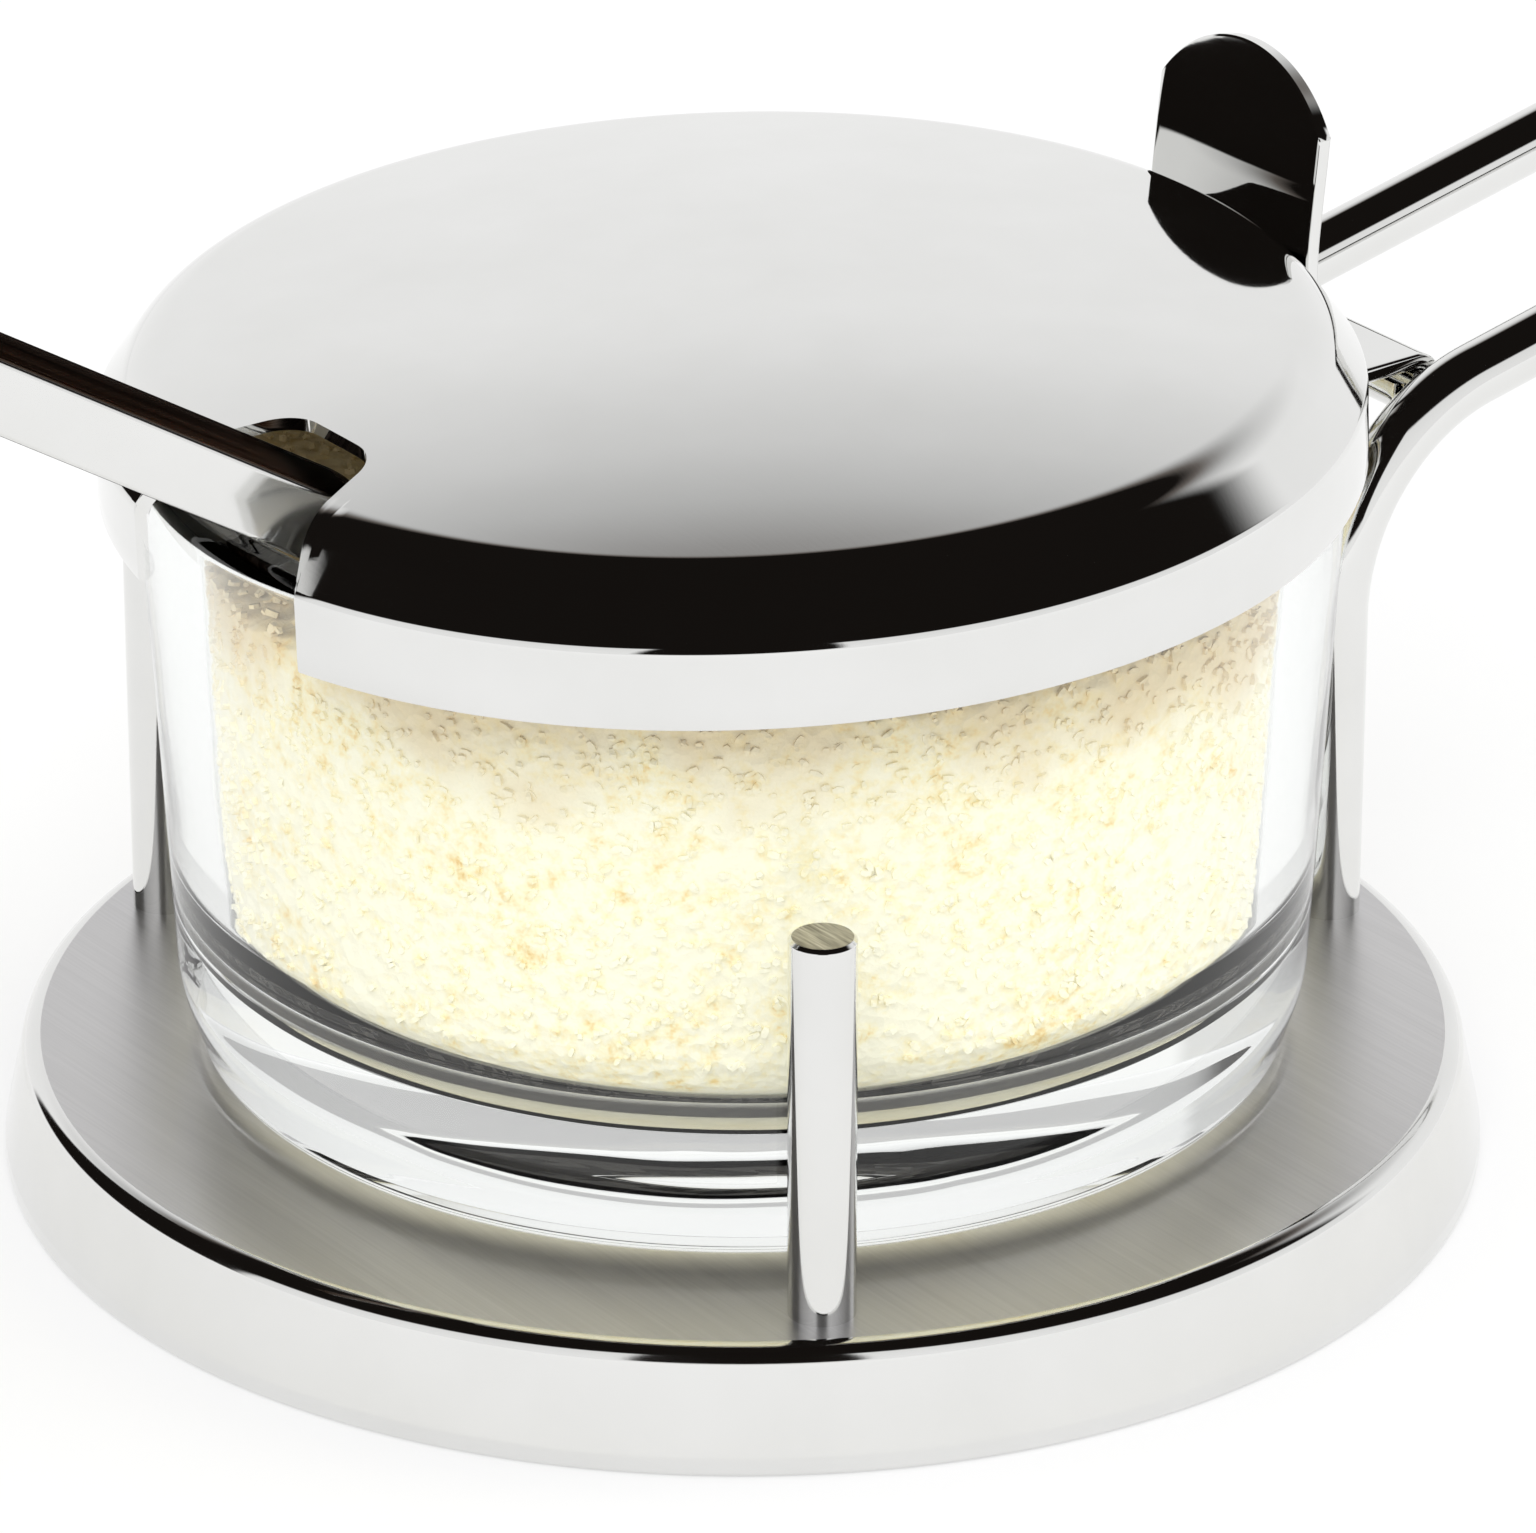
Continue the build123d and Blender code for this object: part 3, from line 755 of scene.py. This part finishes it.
class BuildLid(bpy.types.Operator):
    """Build the domed lid with its spoon notch"""
    bl_idname = "pot.build_lid"
    bl_label = "Lid"

    def execute(self, context):
        radius = size("lid_radius")
        edge_angle, edge_reach = notch_edge()
        half = edge_angle >= 0
        mouth = float(np.interp(radius, edge_reach[half], edge_angle[half]))
        notch = np.linspace(-mouth, mouth, NOTCH_COLUMNS)
        rest = np.linspace(mouth, 2 * math.pi - mouth, REST_COLUMNS)
        angle = np.concatenate([notch, rest[1:]])
        limit = np.where(np.abs(angle) <= mouth + 1e-9, np.interp(angle, edge_angle, edge_reach), np.inf)
        limit[[0, NOTCH_COLUMNS - 1]] = radius
        share = np.zeros(1)
        for end, points in LID_ROWS:
            share = np.concatenate([share, np.linspace(share[-1], end, points)[1:]])

        def shell(inset):
            """One face of the lid's sheet: x = -r cos a, y = r sin a and z = the half section's height.

            Each column runs along the half section to the skirt, or only to the notch's edge."""
            section = lid_half_section(inset, radius)
            length = run_lengths(section)
            clip = np.interp(np.minimum(limit, section[-1, 0]), section[:, 0], length)
            clip[limit >= section[-1, 0]] = length[-1]
            along = share[:, None] * clip
            reach, height = (np.interp(along, length, side) for side in section.T)
            grid = joined(-reach * np.cos(angle), reach * np.sin(angle), height)
            return grid, joined(angle * radius, along)

        outer, inner = shell(0.0), shell(LID_SHEET)
        cut = np.stack([grid[-1, :NOTCH_COLUMNS] for grid, mapping in (outer, inner)])
        # Round the skirt's lower edge, from its outer top to its inner top
        inset = np.array([0, 0, 0, 0, 0.1, 0.35, 0.75, LID_SHEET, LID_SHEET, LID_SHEET])
        hem = joined(radius - inset, (LID_SKIRT, LID_SKIRT - 0.3, 2.0, 0.35, 0.1, 0, 0, 0.2, 2.0, LID_SKIRT))
        around = angle[NOTCH_COLUMNS - 1:]
        skirt = joined(-hem[:, :1] * np.cos(around), hem[:, :1] * np.sin(around), hem[:, 1:])
        skirt_map = joined(around * radius, run_lengths(hem)[:, None])
        grids = [outer, inner, (cut, np.zeros((2, NOTCH_COLUMNS, 2))), (skirt, skirt_map)]
        for column in (0, -1):
            line = skirt[:, column]
            ends = np.stack([line[:5], line[:4:-1]])
            grids.append((ends, np.zeros((*ends.shape[:2], 2))))
        turn = np.array(Matrix.Rotation(-LID_TILT, 3, "Y"))
        place = np.array([LID_CENTRE_X, 0, LID_LOW_Z])
        grids = [(grid @ turn.T + place, mapping) for grid, mapping in grids]
        steel = polished_stainless("buffed_stainless_lid", 0.03, 0.05)
        satin = polished_stainless("satin_stainless_lid_inside", 0.35, 0.45)
        middle = place - turn @ np.array([0, 0, LID_MIDDLE_DROP])

        def outside_or_inside(centre, normal):
            way = centre - middle
            flat = np.hypot(centre[:, 0] - LID_CENTRE_X, centre[:, 1])
            return np.where((np.sum(way * normal, axis=1) < 0) & (flat < radius - 0.9), 1, 0)

        lid = build_piece("lid_shell", grids, (steel, satin), sharp=25.0, zone=outside_or_inside)
        seat(lid, "lid_body", "lid_steel", "lid")
        return {"FINISHED"}


class BuildLever(bpy.types.Operator):
    """Build the strap that rolls round the pin and rises as the thumb lever"""
    bl_idname = "pot.build_lever"
    bl_label = "Thumb lever"

    def execute(self, context):
        top = size("lever_top")
        # The strap's middle line curls round the pin, runs level under the lid's edge, turns up and leans.
        # Its end is a circular arc through the top and both sides, and each column is drawn out to that arc.
        shift = (top - LEVER_LEAN_Z) * math.tan(LEVER_LEAN)
        leaf_z = PIN_Z + STRAP_MID_R
        curl = np.linspace(math.pi / 2 - STRAP_CURL, math.pi / 2, 60)
        rolled = joined(PIN_X + STRAP_MID_R * np.cos(curl), PIN_Z + STRAP_MID_R * np.sin(curl))
        bent = rounded_profile(((PIN_X, leaf_z), (STRAP_MID_X, leaf_z), (STRAP_MID_X, LEVER_LEAN_Z),
                                (STRAP_MID_X + shift, top)), (STRAP_BEND_R, LEVER_LEAN_R), 24)
        line = even_points(np.concatenate([rolled[:-1], bent]), 0.8)
        length = run_lengths(line)
        ahead = unit(np.gradient(line, length, axis=0))
        section = rounded_section(2 * STRAP_HALF_WIDTH, STRAP_SHEET, STRAP_EDGE_R, STRAP_EDGE_POINTS)
        flat = np.linspace(-1, 1, STRAP_FLAT_POINTS) * (STRAP_HALF_WIDTH - STRAP_EDGE_R)
        section = np.concatenate([section[:STRAP_EDGE_POINTS], joined(flat[::-1], STRAP_SHEET / 2)[1:-1],
                                  section[STRAP_EDGE_POINTS:3 * STRAP_EDGE_POINTS],
                                  joined(flat, -STRAP_SHEET / 2)[1:-1], section[3 * STRAP_EDGE_POINTS:]])
        sag = top - LEVER_SIDE_Z
        arc_r = (STRAP_HALF_WIDTH**2 + sag**2) / (2 * sag)
        arc_z = top - arc_r + np.sqrt(arc_r**2 - section[:, 0] ** 2)
        upright = line[:, 1] > LEVER_LEAN_Z - LEVER_STRAIGHT
        fixed = length[~upright][-1]
        reach = np.interp(arc_z, line[upright, 1], length[upright])
        share = np.clip((length - fixed) / (length[-1] - fixed), 0, 1)
        along = np.where(length[:, None] <= fixed, length[:, None],
                         fixed + share[:, None] * (reach[None] - fixed))
        along = np.concatenate([along[:1], along, along[-1:], along[-1:]])
        along[-3] -= LEVER_TIP_DRAW
        depth = np.concatenate([[0.0], np.ones(len(length)), [LEVER_TIP_THICKNESS, 0.0]])[:, None]
        x, z, ahead_x, ahead_z = (np.interp(along, length, side) for side in (*line.T, *ahead.T))
        off = section[:, 1] * depth
        grid = joined(x - ahead_z * off, section[:, 0], z + ahead_x * off)
        mapping = joined(run_lengths(section), along)
        steel = polished_stainless("buffed_stainless_lever", 0.02, 0.04)
        lever = build_piece("thumb_lever_strap", [(grid, mapping)], (steel,))
        seat(lever, "lid_body", "lever_steel", "thumb_lever")
        return {"FINISHED"}


def spoon_place():
    """The spoon's crossing point over the rim, and its heading and level directions.

    The bar's lower edge clears the lip by the rim gap where the edge, which is the bar's half width
    off its middle line, meets the circle of the lip."""
    lip_r = size("glass_rim_radius") - GLASS_WALL + GLASS_LIP_R
    lift = GLASS_LIP_R + SPOON_RIM_GAP + SPOON_BAR[1] / 2
    heading = np.array([math.cos(SPOON_HEADING), math.sin(SPOON_HEADING), 0])
    along = SPOON_CROSS[0] * heading[0] + SPOON_CROSS[1] * heading[1]
    across = SPOON_CROSS[0] * heading[1] - SPOON_CROSS[1] * heading[0]
    run = math.sqrt(lip_r**2 - (abs(across) + SPOON_BAR[0] / 2) ** 2) - along
    height = size("glass_top") - GLASS_LIP_R + lift / math.cos(SPOON_SLOPE) - run * math.tan(SPOON_SLOPE)
    level = np.array([-heading[1], heading[0], 0])
    return np.array([*SPOON_CROSS, height]), heading, level


def slope_direction(angle):
    """A direction of length one as (run, rise), at an angle to the level."""
    return np.array([math.cos(angle), math.sin(angle)])


def bar_along(flat, section, origin, heading, level):
    """A bar carried along a line given as (distance along the heading, height) from an origin."""
    path = origin + flat[:, :1] * heading + flat[:, 1:] * np.array([0, 0, 1.0])
    ahead = unit(np.gradient(path, axis=0))
    across = np.broadcast_to(level, path.shape)
    return carried_grid(section, path, across, np.cross(ahead, across))


class BuildSpoon(bpy.types.Operator):
    """Build the spoon's bar, neck and scoop"""
    bl_idname = "pot.build_spoon"
    bl_label = "Spoon"

    def execute(self, context):
        origin, heading, level = spoon_place()
        slope, shank = slope_direction(SPOON_SLOPE), slope_direction(SPOON_SHANK_SLOPE)
        outer = slope * size("spoon_reach")
        kink = -slope * SPOON_KINK_RUN
        shank_end = kink - shank * SPOON_SHANK
        neck_end = shank_end - shank * SPOON_NECK_LENGTH
        line = even_points(rounded_profile((outer, kink, shank_end), (SPOON_KINK_R,), 16), 2.0)
        bar = bar_along(line, rounded_section(*SPOON_BAR), origin, heading, level)
        # Painted reflection: the bar's top and bottom faces are brown-grey steel with a dark glint, standing
        # for the dark room they mirror, while its sides are bright polished steel
        brushed = brushed_stainless("belt_brushed_spoon_bar", "along", 0.22, 0.32, "#3A322D", "#70665F",
                                    bump_strength=0.2, glint="#5A5450")
        side = polished_stainless("buffed_spoon_side", 0.1, 0.16)

        def face_of_bar(centre, normal):
            return np.where(np.abs(normal @ level) > 0.6, 1, 0)

        handle = build_piece("spoon_bar", [bar], (brushed, side), zone=face_of_bar)
        seat(handle, "spoon", "spoon_steel", "spoon_handle")
        neck_line = even_points(np.array([shank_end, neck_end - shank * SCOOP_SHEET]), 1.0)
        neck = bar_along(neck_line, rounded_section(*SPOON_NECK), origin, heading, level)
        tilt = slope_direction(SCOOP_SLOPE)
        middle = neck_end - tilt * (SCOOP_HALF[0] - SCOOP_SHEET)
        # The scoop is the lower halves of two ellipsoids one sheet apart: half length * cos t * cos s along
        # it, half width * sin t * cos s across it and depth * sin s down
        around = np.linspace(0, 2 * np.pi, SCOOP_COLUMNS)
        down = np.linspace(0, np.pi / 2, SCOOP_ROWS)
        outer_half = np.array(SCOOP_HALF)
        inner_half = outer_half - SCOOP_SHEET
        rows = []
        for half, depths in ((outer_half, down[::-1]), (inner_half, down)):
            rows.append(joined(half[0] * np.cos(around) * np.cos(depths)[:, None],
                               half[1] * np.sin(around) * np.cos(depths)[:, None],
                               -half[2] * np.sin(depths)[:, None]))
        bowl = np.concatenate(rows)
        ahead = tilt[0] * heading + np.array([0, 0, tilt[1]])
        upward = np.cross(ahead, level)
        centre = origin + middle[0] * heading + np.array([0, 0, middle[1]])
        scoop_grid = centre + bowl[..., :1] * ahead + bowl[..., 1:2] * level + bowl[..., 2:] * upward
        mapping = joined(around * SCOOP_HALF[0], np.arange(len(bowl))[:, None] * 0.5)
        satin = brushed_stainless("satin_scoop_steel", "along", 0.18, 0.3)
        scoop = build_piece("spoon_scoop_shell", [(scoop_grid, mapping), neck], (satin,))
        seat(scoop, "spoon", "scoop_steel", "spoon_scoop")
        return {"FINISHED"}


def heap_rise(points):
    """Height of the heap's top over its level: broad mounds, less the bell shaped hollow of the spoon."""
    off = (points[..., 0] - HOLLOW_X) ** 2 + points[..., 1] ** 2
    mounds = MOUND_HEIGHT * value_noise(points * [1, 1, 0.2], MOUND_WIDTH, 13)
    return mounds - HOLLOW_DEPTH * np.exp(-off / HOLLOW_SPREAD)


class BuildCheese(bpy.types.Operator):
    """Fill the bowl with grated cheese and scatter loose flakes over it"""
    bl_idname = "pot.build_cheese"
    bl_label = "Grated cheese"

    def execute(self, context):
        # A turned profile follows the glass. Noise pushes its crumbs towards the glass and up at the top.
        level = size("cheese_level")
        wall = glass_inner_profile(size("glass_top"))
        lean = (wall[0][0] - wall[1][0]) / (wall[0][1] - wall[1][1])
        edge_r = wall[1][0] + lean * (level - wall[1][1])
        low_r, floor = wall[1][0] - CHEESE_GAP, GLASS_FLOOR_Z + CHEESE_GAP
        corners = ((0, floor), (low_r, floor), (edge_r - CHEESE_GAP, level - CHEESE_EDGE_DROP),
                   (edge_r - CHEESE_EDGE_WIDTH, level), (0, level + CHEESE_CROWN))
        radii = (GLASS_INNER_CORNER_R - CHEESE_GAP, *CHEESE_EDGE_RADII)
        profile = even_points(rounded_profile(corners, radii, 30), CHEESE_SPACING)
        grid, mapping = turned_grid(profile, CHEESE_STEPS)
        reach = np.maximum(np.hypot(grid[..., 0], grid[..., 1]), 1e-6)
        large, small = CRUMB_CELLS
        crumbs = 0.6 * value_noise(grid, large, 11) + 0.4 * value_noise(grid, small, 12)
        wall_part = np.clip((reach - 0.86 * edge_r) / (0.1 * edge_r), 0, 1)
        top_part = np.clip((grid[..., 2] - level + 3) / 3, 0, 1)
        rise = heap_rise(grid)
        push = CRUMB_PUSH * np.minimum(crumbs, 0.6) - CRUMB_SLACK
        grid[..., :2] *= (1 + wall_part * push / reach)[..., None]
        grid[..., 2] += top_part * (CRUMB_HEIGHT * crumbs + rise)
        cheese = grated_cheese("dry_grated_cheese")
        heap = build_piece("grated_cheese_heap", [(grid, mapping)], (cheese,), sharp=180.0)
        seat(heap, "bowl", "clear_glass")
        self.scatter(level, edge_r, lean, cheese)
        return {"FINISHED"}

    def scatter(self, level, edge_r, lean, cheese):
        """Loose flakes: bent slips, two by one squares and a thickness, thrown over the heap at random.

        A point is place + u * long side + v * short side + (bend * (1 - u squared) +- half
        thickness) * outward."""
        rng = np.random.default_rng(21)
        count = bpy.context.scene.pot_sizes.flake_count
        on_side = rng.random(count) < FLAKE_SIDE_SHARE
        angle = rng.uniform(0, 2 * np.pi, count)
        height = np.where(on_side, rng.uniform(GLASS_FLOOR_Z + FLAKE_LOW, level - FLAKE_HIGH, count),
                          level + FLAKE_LIFT)
        inner = edge_r - lean * (level - height) - FLAKE_GAP
        reach = np.where(on_side, inner, inner * np.sqrt(rng.uniform(0, 0.98, count)))
        place = joined(reach * np.cos(angle), reach * np.sin(angle), height)
        place[:, 2] += np.where(on_side, 0, heap_rise(place))
        outward = np.where(on_side[:, None], joined(np.cos(angle), np.sin(angle), 0), (0, 0, 1.0))
        outward = unit(outward + rng.normal(0, 0.1, (count, 3)) * np.where(on_side, 1, 3.0)[:, None])
        spin = rng.normal(0, 1, (count, 3))
        long_side = unit(np.cross(outward, spin))
        short_side = np.cross(outward, long_side)
        long_half, short_half, bend, thick = (rng.uniform(*span, count)[:, None] for span in (
            FLAKE_LONG, FLAKE_SHORT, FLAKE_BEND, FLAKE_THICK))
        points = []
        for level_side in (-1, 1):
            for u in (-1.0, 0.0, 1.0):
                width = 1.0 if u == 0 else FLAKE_END_WIDTH
                for v in (-1.0, 1.0):
                    points.append(place + u * long_half * long_side + v * width * short_half * short_side
                                  + (bend * (1 - u * u) + level_side * thick) * outward)
        corners = np.stack(points, axis=1)
        faces = np.array([(0, 1, 3, 2), (2, 3, 5, 4), (7, 6, 8, 9), (9, 8, 10, 11), (0, 6, 7, 1),
                          (5, 11, 10, 4), (0, 2, 8, 6), (2, 4, 10, 8), (3, 1, 7, 9), (5, 3, 9, 11)])
        every = (np.arange(count) * 12)[:, None, None] + faces[None]
        mesh = bpy.data.meshes.new("loose_cheese_flakes")
        mesh.from_pydata((corners.reshape(-1, 3) * MM).tolist(), [], every.reshape(-1, 4).tolist())
        turn_outwards(mesh)
        mesh.materials.append(cheese)
        seat(add_object("loose_cheese_flakes", mesh), "bowl", "clear_glass")


# Room, light and camera

def window(tree, value, low, high, soft):
    """A mask that is 1 between low and high and eases to 0 over the soft distance outside them."""
    rise = add(tree, "ShaderNodeMapRange", {"Value": value, "From Min": low - soft, "From Max": low},
               interpolation_type="SMOOTHSTEP")
    fall = add(tree, "ShaderNodeMapRange", {"Value": value, "From Min": high, "From Max": high + soft,
                                            "To Min": 1.0, "To Max": 0.0}, interpolation_type="SMOOTHSTEP")
    return add(tree, "ShaderNodeMath", {0: rise, 1: fall}, operation="MULTIPLY")


def bearing(tree, turn, middle):
    """Degrees from a middle azimuth to the azimuth looked at, from -180 to 180."""
    off = add(tree, "ShaderNodeMath", {0: turn, 1: float(middle)}, operation="SUBTRACT")
    return add(tree, "ShaderNodeMath", {0: off, 1: 180.0, 2: -180.0}, operation="WRAP")


def wall_shade(tree, height, stops):
    """The shade of a wall by height in degrees, which is 0 to 1 in the stops."""
    share = add(tree, "ShaderNodeMapRange", {"Value": height, "From Min": -90.0, "From Max": 90.0})
    return ramp(tree, share, stops)


WHITE = (1.0, 1.0, 1.0, 1.0)
DARK = "#171412"

# Shades of the wall behind the pot and of the wall on the camera's side, from the horizon (0.5) up
FAR_WALL = ((0.5, "#FFFFFF"), (0.642, "#FBFBFB"), (0.661, "#F5F5F5"), (0.68, "#EAEAEA"), (0.699, "#DEDEDE"),
            (0.718, "#C8C8C8"), (0.733, "#A8A7A6"), (0.75, "#6A6460"), (0.765, DARK), (1.0, DARK))
NEAR_WALL = ((0.5, "#FFFFFF"), (0.74, "#F4F4F4"), (0.76, DARK), (1.0, DARK))

# Middle azimuth of the far wall, its half width and how softly it ends, in degrees
FAR_PART = (52.0, 62.0, 16.0)

# The near wall's dark part hangs lower by this share of the angle from the camera's azimuth
NEAR_SLANT = 0.25
CAMERA_AZIMUTH = -126.6

# Dark panels round the pot as a mirror sees them: middle azimuth and half width, lowest and highest
# elevation, and softness, all in degrees
ROOM_PANELS = (
    (124, 27, 3, 64, 4),
    (-126, 16, 6, 60, 3),
)
# Share of white in what is seen through glass, and the even light on matt surfaces
GLASS_FILL = 0.75
MATT_LIGHT = (0.95, 0.95, 0.95, 1.0)

# Name, shape, place and aim, width in metres and power in watts
LAMPS = (
    ("front_soft_box", "SQUARE", (-0.9, -1.1, 1.5), (0, 0, 0.03), 1.2, 14.0),
    ("right_soft_box", "SQUARE", (1.3, -0.7, 0.9), (0, 0, 0.03), 0.9, 5.0),
    ("glass_floor_light", "DISK", (0, 0, 0.0145), (0, 0, 0.03), 0.078, 0.012),
)
TABLE_RADIUS = 3.0
TABLE_DROP = 0.00005
TABLE_GLOW = 0.45

# The camera's place, its focal length and how far right of and above the origin it aims, in pixels
CAMERA_PLACE = (-0.3988, -0.5380, 0.3375)
CAMERA_FOCAL = 9175.0
CAMERA_AIM = (25.5, 354.9)
PICTURE_WIDTH = 1536.0


class BuildStage(bpy.types.Operator):
    """Build the white table, the studio room, the lamps and the camera"""
    bl_idname = "pot.build_stage"
    bl_label = "Stage"

    def execute(self, context):
        self.room()
        self.table()
        self.lamps()
        self.camera()
        context.scene.view_settings.view_transform = "Standard"
        return {"FINISHED"}

    def room(self):
        """White to the eye, and an even soft light to matt surfaces.

        Mirrors and glass see white walls that turn dark above: the far wall slowly, the near wall at
        once and lower towards its sides. A dark panel stands at the left and one behind the camera.
        What is seen through glass is paler."""
        world = bpy.data.worlds.new("studio_room")
        bpy.context.scene.world = world
        world.use_nodes = True
        tree = world.node_tree
        tree.nodes.clear()
        way = add(tree, "ShaderNodeTexCoord").outputs["Generated"]
        parts = add(tree, "ShaderNodeSeparateXYZ", {"Vector": way})
        lift = add(tree, "ShaderNodeMath", {0: parts.outputs["Z"]}, operation="ARCSINE")
        lift = add(tree, "ShaderNodeMath", {0: lift}, operation="DEGREES")
        turn = add(tree, "ShaderNodeMath", {0: parts.outputs["Y"], 1: parts.outputs["X"]},
                   operation="ARCTAN2")
        turn = add(tree, "ShaderNodeMath", {0: turn}, operation="DEGREES")
        away = add(tree, "ShaderNodeMath", {0: bearing(tree, turn, CAMERA_AZIMUTH)}, operation="ABSOLUTE")
        lean = add(tree, "ShaderNodeMath", {0: away, 1: NEAR_SLANT, 2: lift}, operation="MULTIPLY_ADD")
        middle, half, soft = FAR_PART
        layers = [(window(tree, bearing(tree, turn, middle), -half, half, soft),
                   wall_shade(tree, lift, FAR_WALL))]
        for middle, half, low, high, soft in ROOM_PANELS:
            sideways = window(tree, bearing(tree, turn, middle), -half, half, soft)
            mask = add(tree, "ShaderNodeMath", {0: sideways, 1: window(tree, lift, low, high, soft)},
                       operation="MULTIPLY")
            layers.append((mask, linear_colour(DARK)))
        path = add(tree, "ShaderNodeLightPath")
        through = add(tree, "ShaderNodeMath", {0: path.outputs["Is Transmission Ray"], 1: GLASS_FILL},
                      operation="MULTIPLY")
        matt = add(tree, "ShaderNodeMath", {0: path.outputs["Diffuse Depth"], 1: 0.5},
                   operation="GREATER_THAN")
        layers += [(through, WHITE), (path.outputs["Is Camera Ray"], WHITE), (matt, MATT_LIGHT)]
        seen = wall_shade(tree, lean, NEAR_WALL)
        for mask, tone in layers:
            seen = add(tree, "ShaderNodeMix", {"Factor": mask, "A": seen, "B": tone}, data_type="RGBA")
        background = add(tree, "ShaderNodeBackground", {"Color": seen, "Strength": 1.0})
        add(tree, "ShaderNodeOutputWorld", {"Surface": background})

    def table(self):
        """A round white table top that glows a little, so it is white to the eye and keeps a soft shadow."""
        angle = np.linspace(0, 2 * np.pi, 97)[:-1]
        mesh = bpy.data.meshes.new("table_top")
        ring = joined(TABLE_RADIUS * np.cos(angle), TABLE_RADIUS * np.sin(angle), -TABLE_DROP)
        mesh.from_pydata(ring.tolist(), [], [list(range(angle.size))])
        table = add_object("table_top", mesh)
        material, tree = empty_material("white_table_laminate")
        cover = add(tree, "ShaderNodeBsdfDiffuse", {"Color": linear_colour("#F2F2F2")})
        glow = add(tree, "ShaderNodeEmission", {"Color": WHITE, "Strength": 1.0})
        both = add(tree, "ShaderNodeMixShader", {"Fac": TABLE_GLOW, 1: cover, 2: glow})
        add(tree, "ShaderNodeOutputMaterial", {"Surface": both})
        mesh.materials.append(material)

    def lamps(self):
        """Two large soft boxes that light matt surfaces only a little more from the front and the right, and
        a disc under the cheese for the light that the thick glass carries in from its sides."""
        for name, shape, place, aim, width, power in LAMPS:
            lamp = bpy.data.lights.new(name, "AREA")
            lamp.shape = shape
            lamp.size = width
            lamp.energy = power
            box = add_object(name, lamp)
            box.location = place
            box.rotation_euler = (Vector(aim) - Vector(place)).to_track_quat("-Z", "Y").to_euler()
            box.visible_camera = False
            box.visible_glossy = False
            box.visible_transmission = False

    def camera(self):
        """The photograph's viewpoint: 750 mm from the foot of the pot, from its front left and above."""
        place = Vector(CAMERA_PLACE)
        ahead = (-place).normalized()
        right = ahead.cross(Vector((0, 0, 1))).normalized()
        above = right.cross(ahead)
        aim_right, aim_up = (pixels / CAMERA_FOCAL for pixels in CAMERA_AIM)
        aim = (ahead + right * aim_right + above * aim_up).normalized()
        data = bpy.data.cameras.new("photo_camera")
        data.sensor_width = 36.0
        data.lens = CAMERA_FOCAL / PICTURE_WIDTH * data.sensor_width
        camera = add_object("photo_camera", data)
        camera.location = place
        camera.rotation_euler = aim.to_track_quat("-Z", "Y").to_euler()
        bpy.context.scene.camera = camera


OPERATORS = (BuildStage, BuildBase, BuildPosts, BuildHandle, BuildGlass, BuildLid, BuildLever, BuildSpoon,
             BuildCheese)


class PotPanel(bpy.types.Panel):
    """Sizes, colours and pieces of the cheese pot"""
    bl_idname = "VIEW3D_PT_cheese_pot"
    bl_label = "Cheese Pot"
    bl_space_type = "VIEW_3D"
    bl_region_type = "UI"
    bl_category = "Cheese Pot"

    def draw(self, context):
        for group in (context.scene.pot_sizes, context.scene.pot_colours):
            column = self.layout.column(align=True)
            for name in group.__annotations__:
                column.prop(group, name)
        for operator in OPERATORS:
            self.layout.operator(operator.bl_idname)


CLASSES = (PotSizes, PotColours) + OPERATORS + (PotPanel,)


def register():
    for item in CLASSES:
        bpy.utils.register_class(item)
    bpy.types.Scene.pot_sizes = bpy.props.PointerProperty(type=PotSizes)
    bpy.types.Scene.pot_colours = bpy.props.PointerProperty(type=PotColours)


def unregister():
    del bpy.types.Scene.pot_colours
    del bpy.types.Scene.pot_sizes
    for item in reversed(CLASSES):
        bpy.utils.unregister_class(item)


def main():
    """Registers the add-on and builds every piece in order."""
    register()
    for operator in OPERATORS:
        group, name = operator.bl_idname.split(".")
        getattr(getattr(bpy.ops, group), name)()


if __name__ == "__main__":
    main()
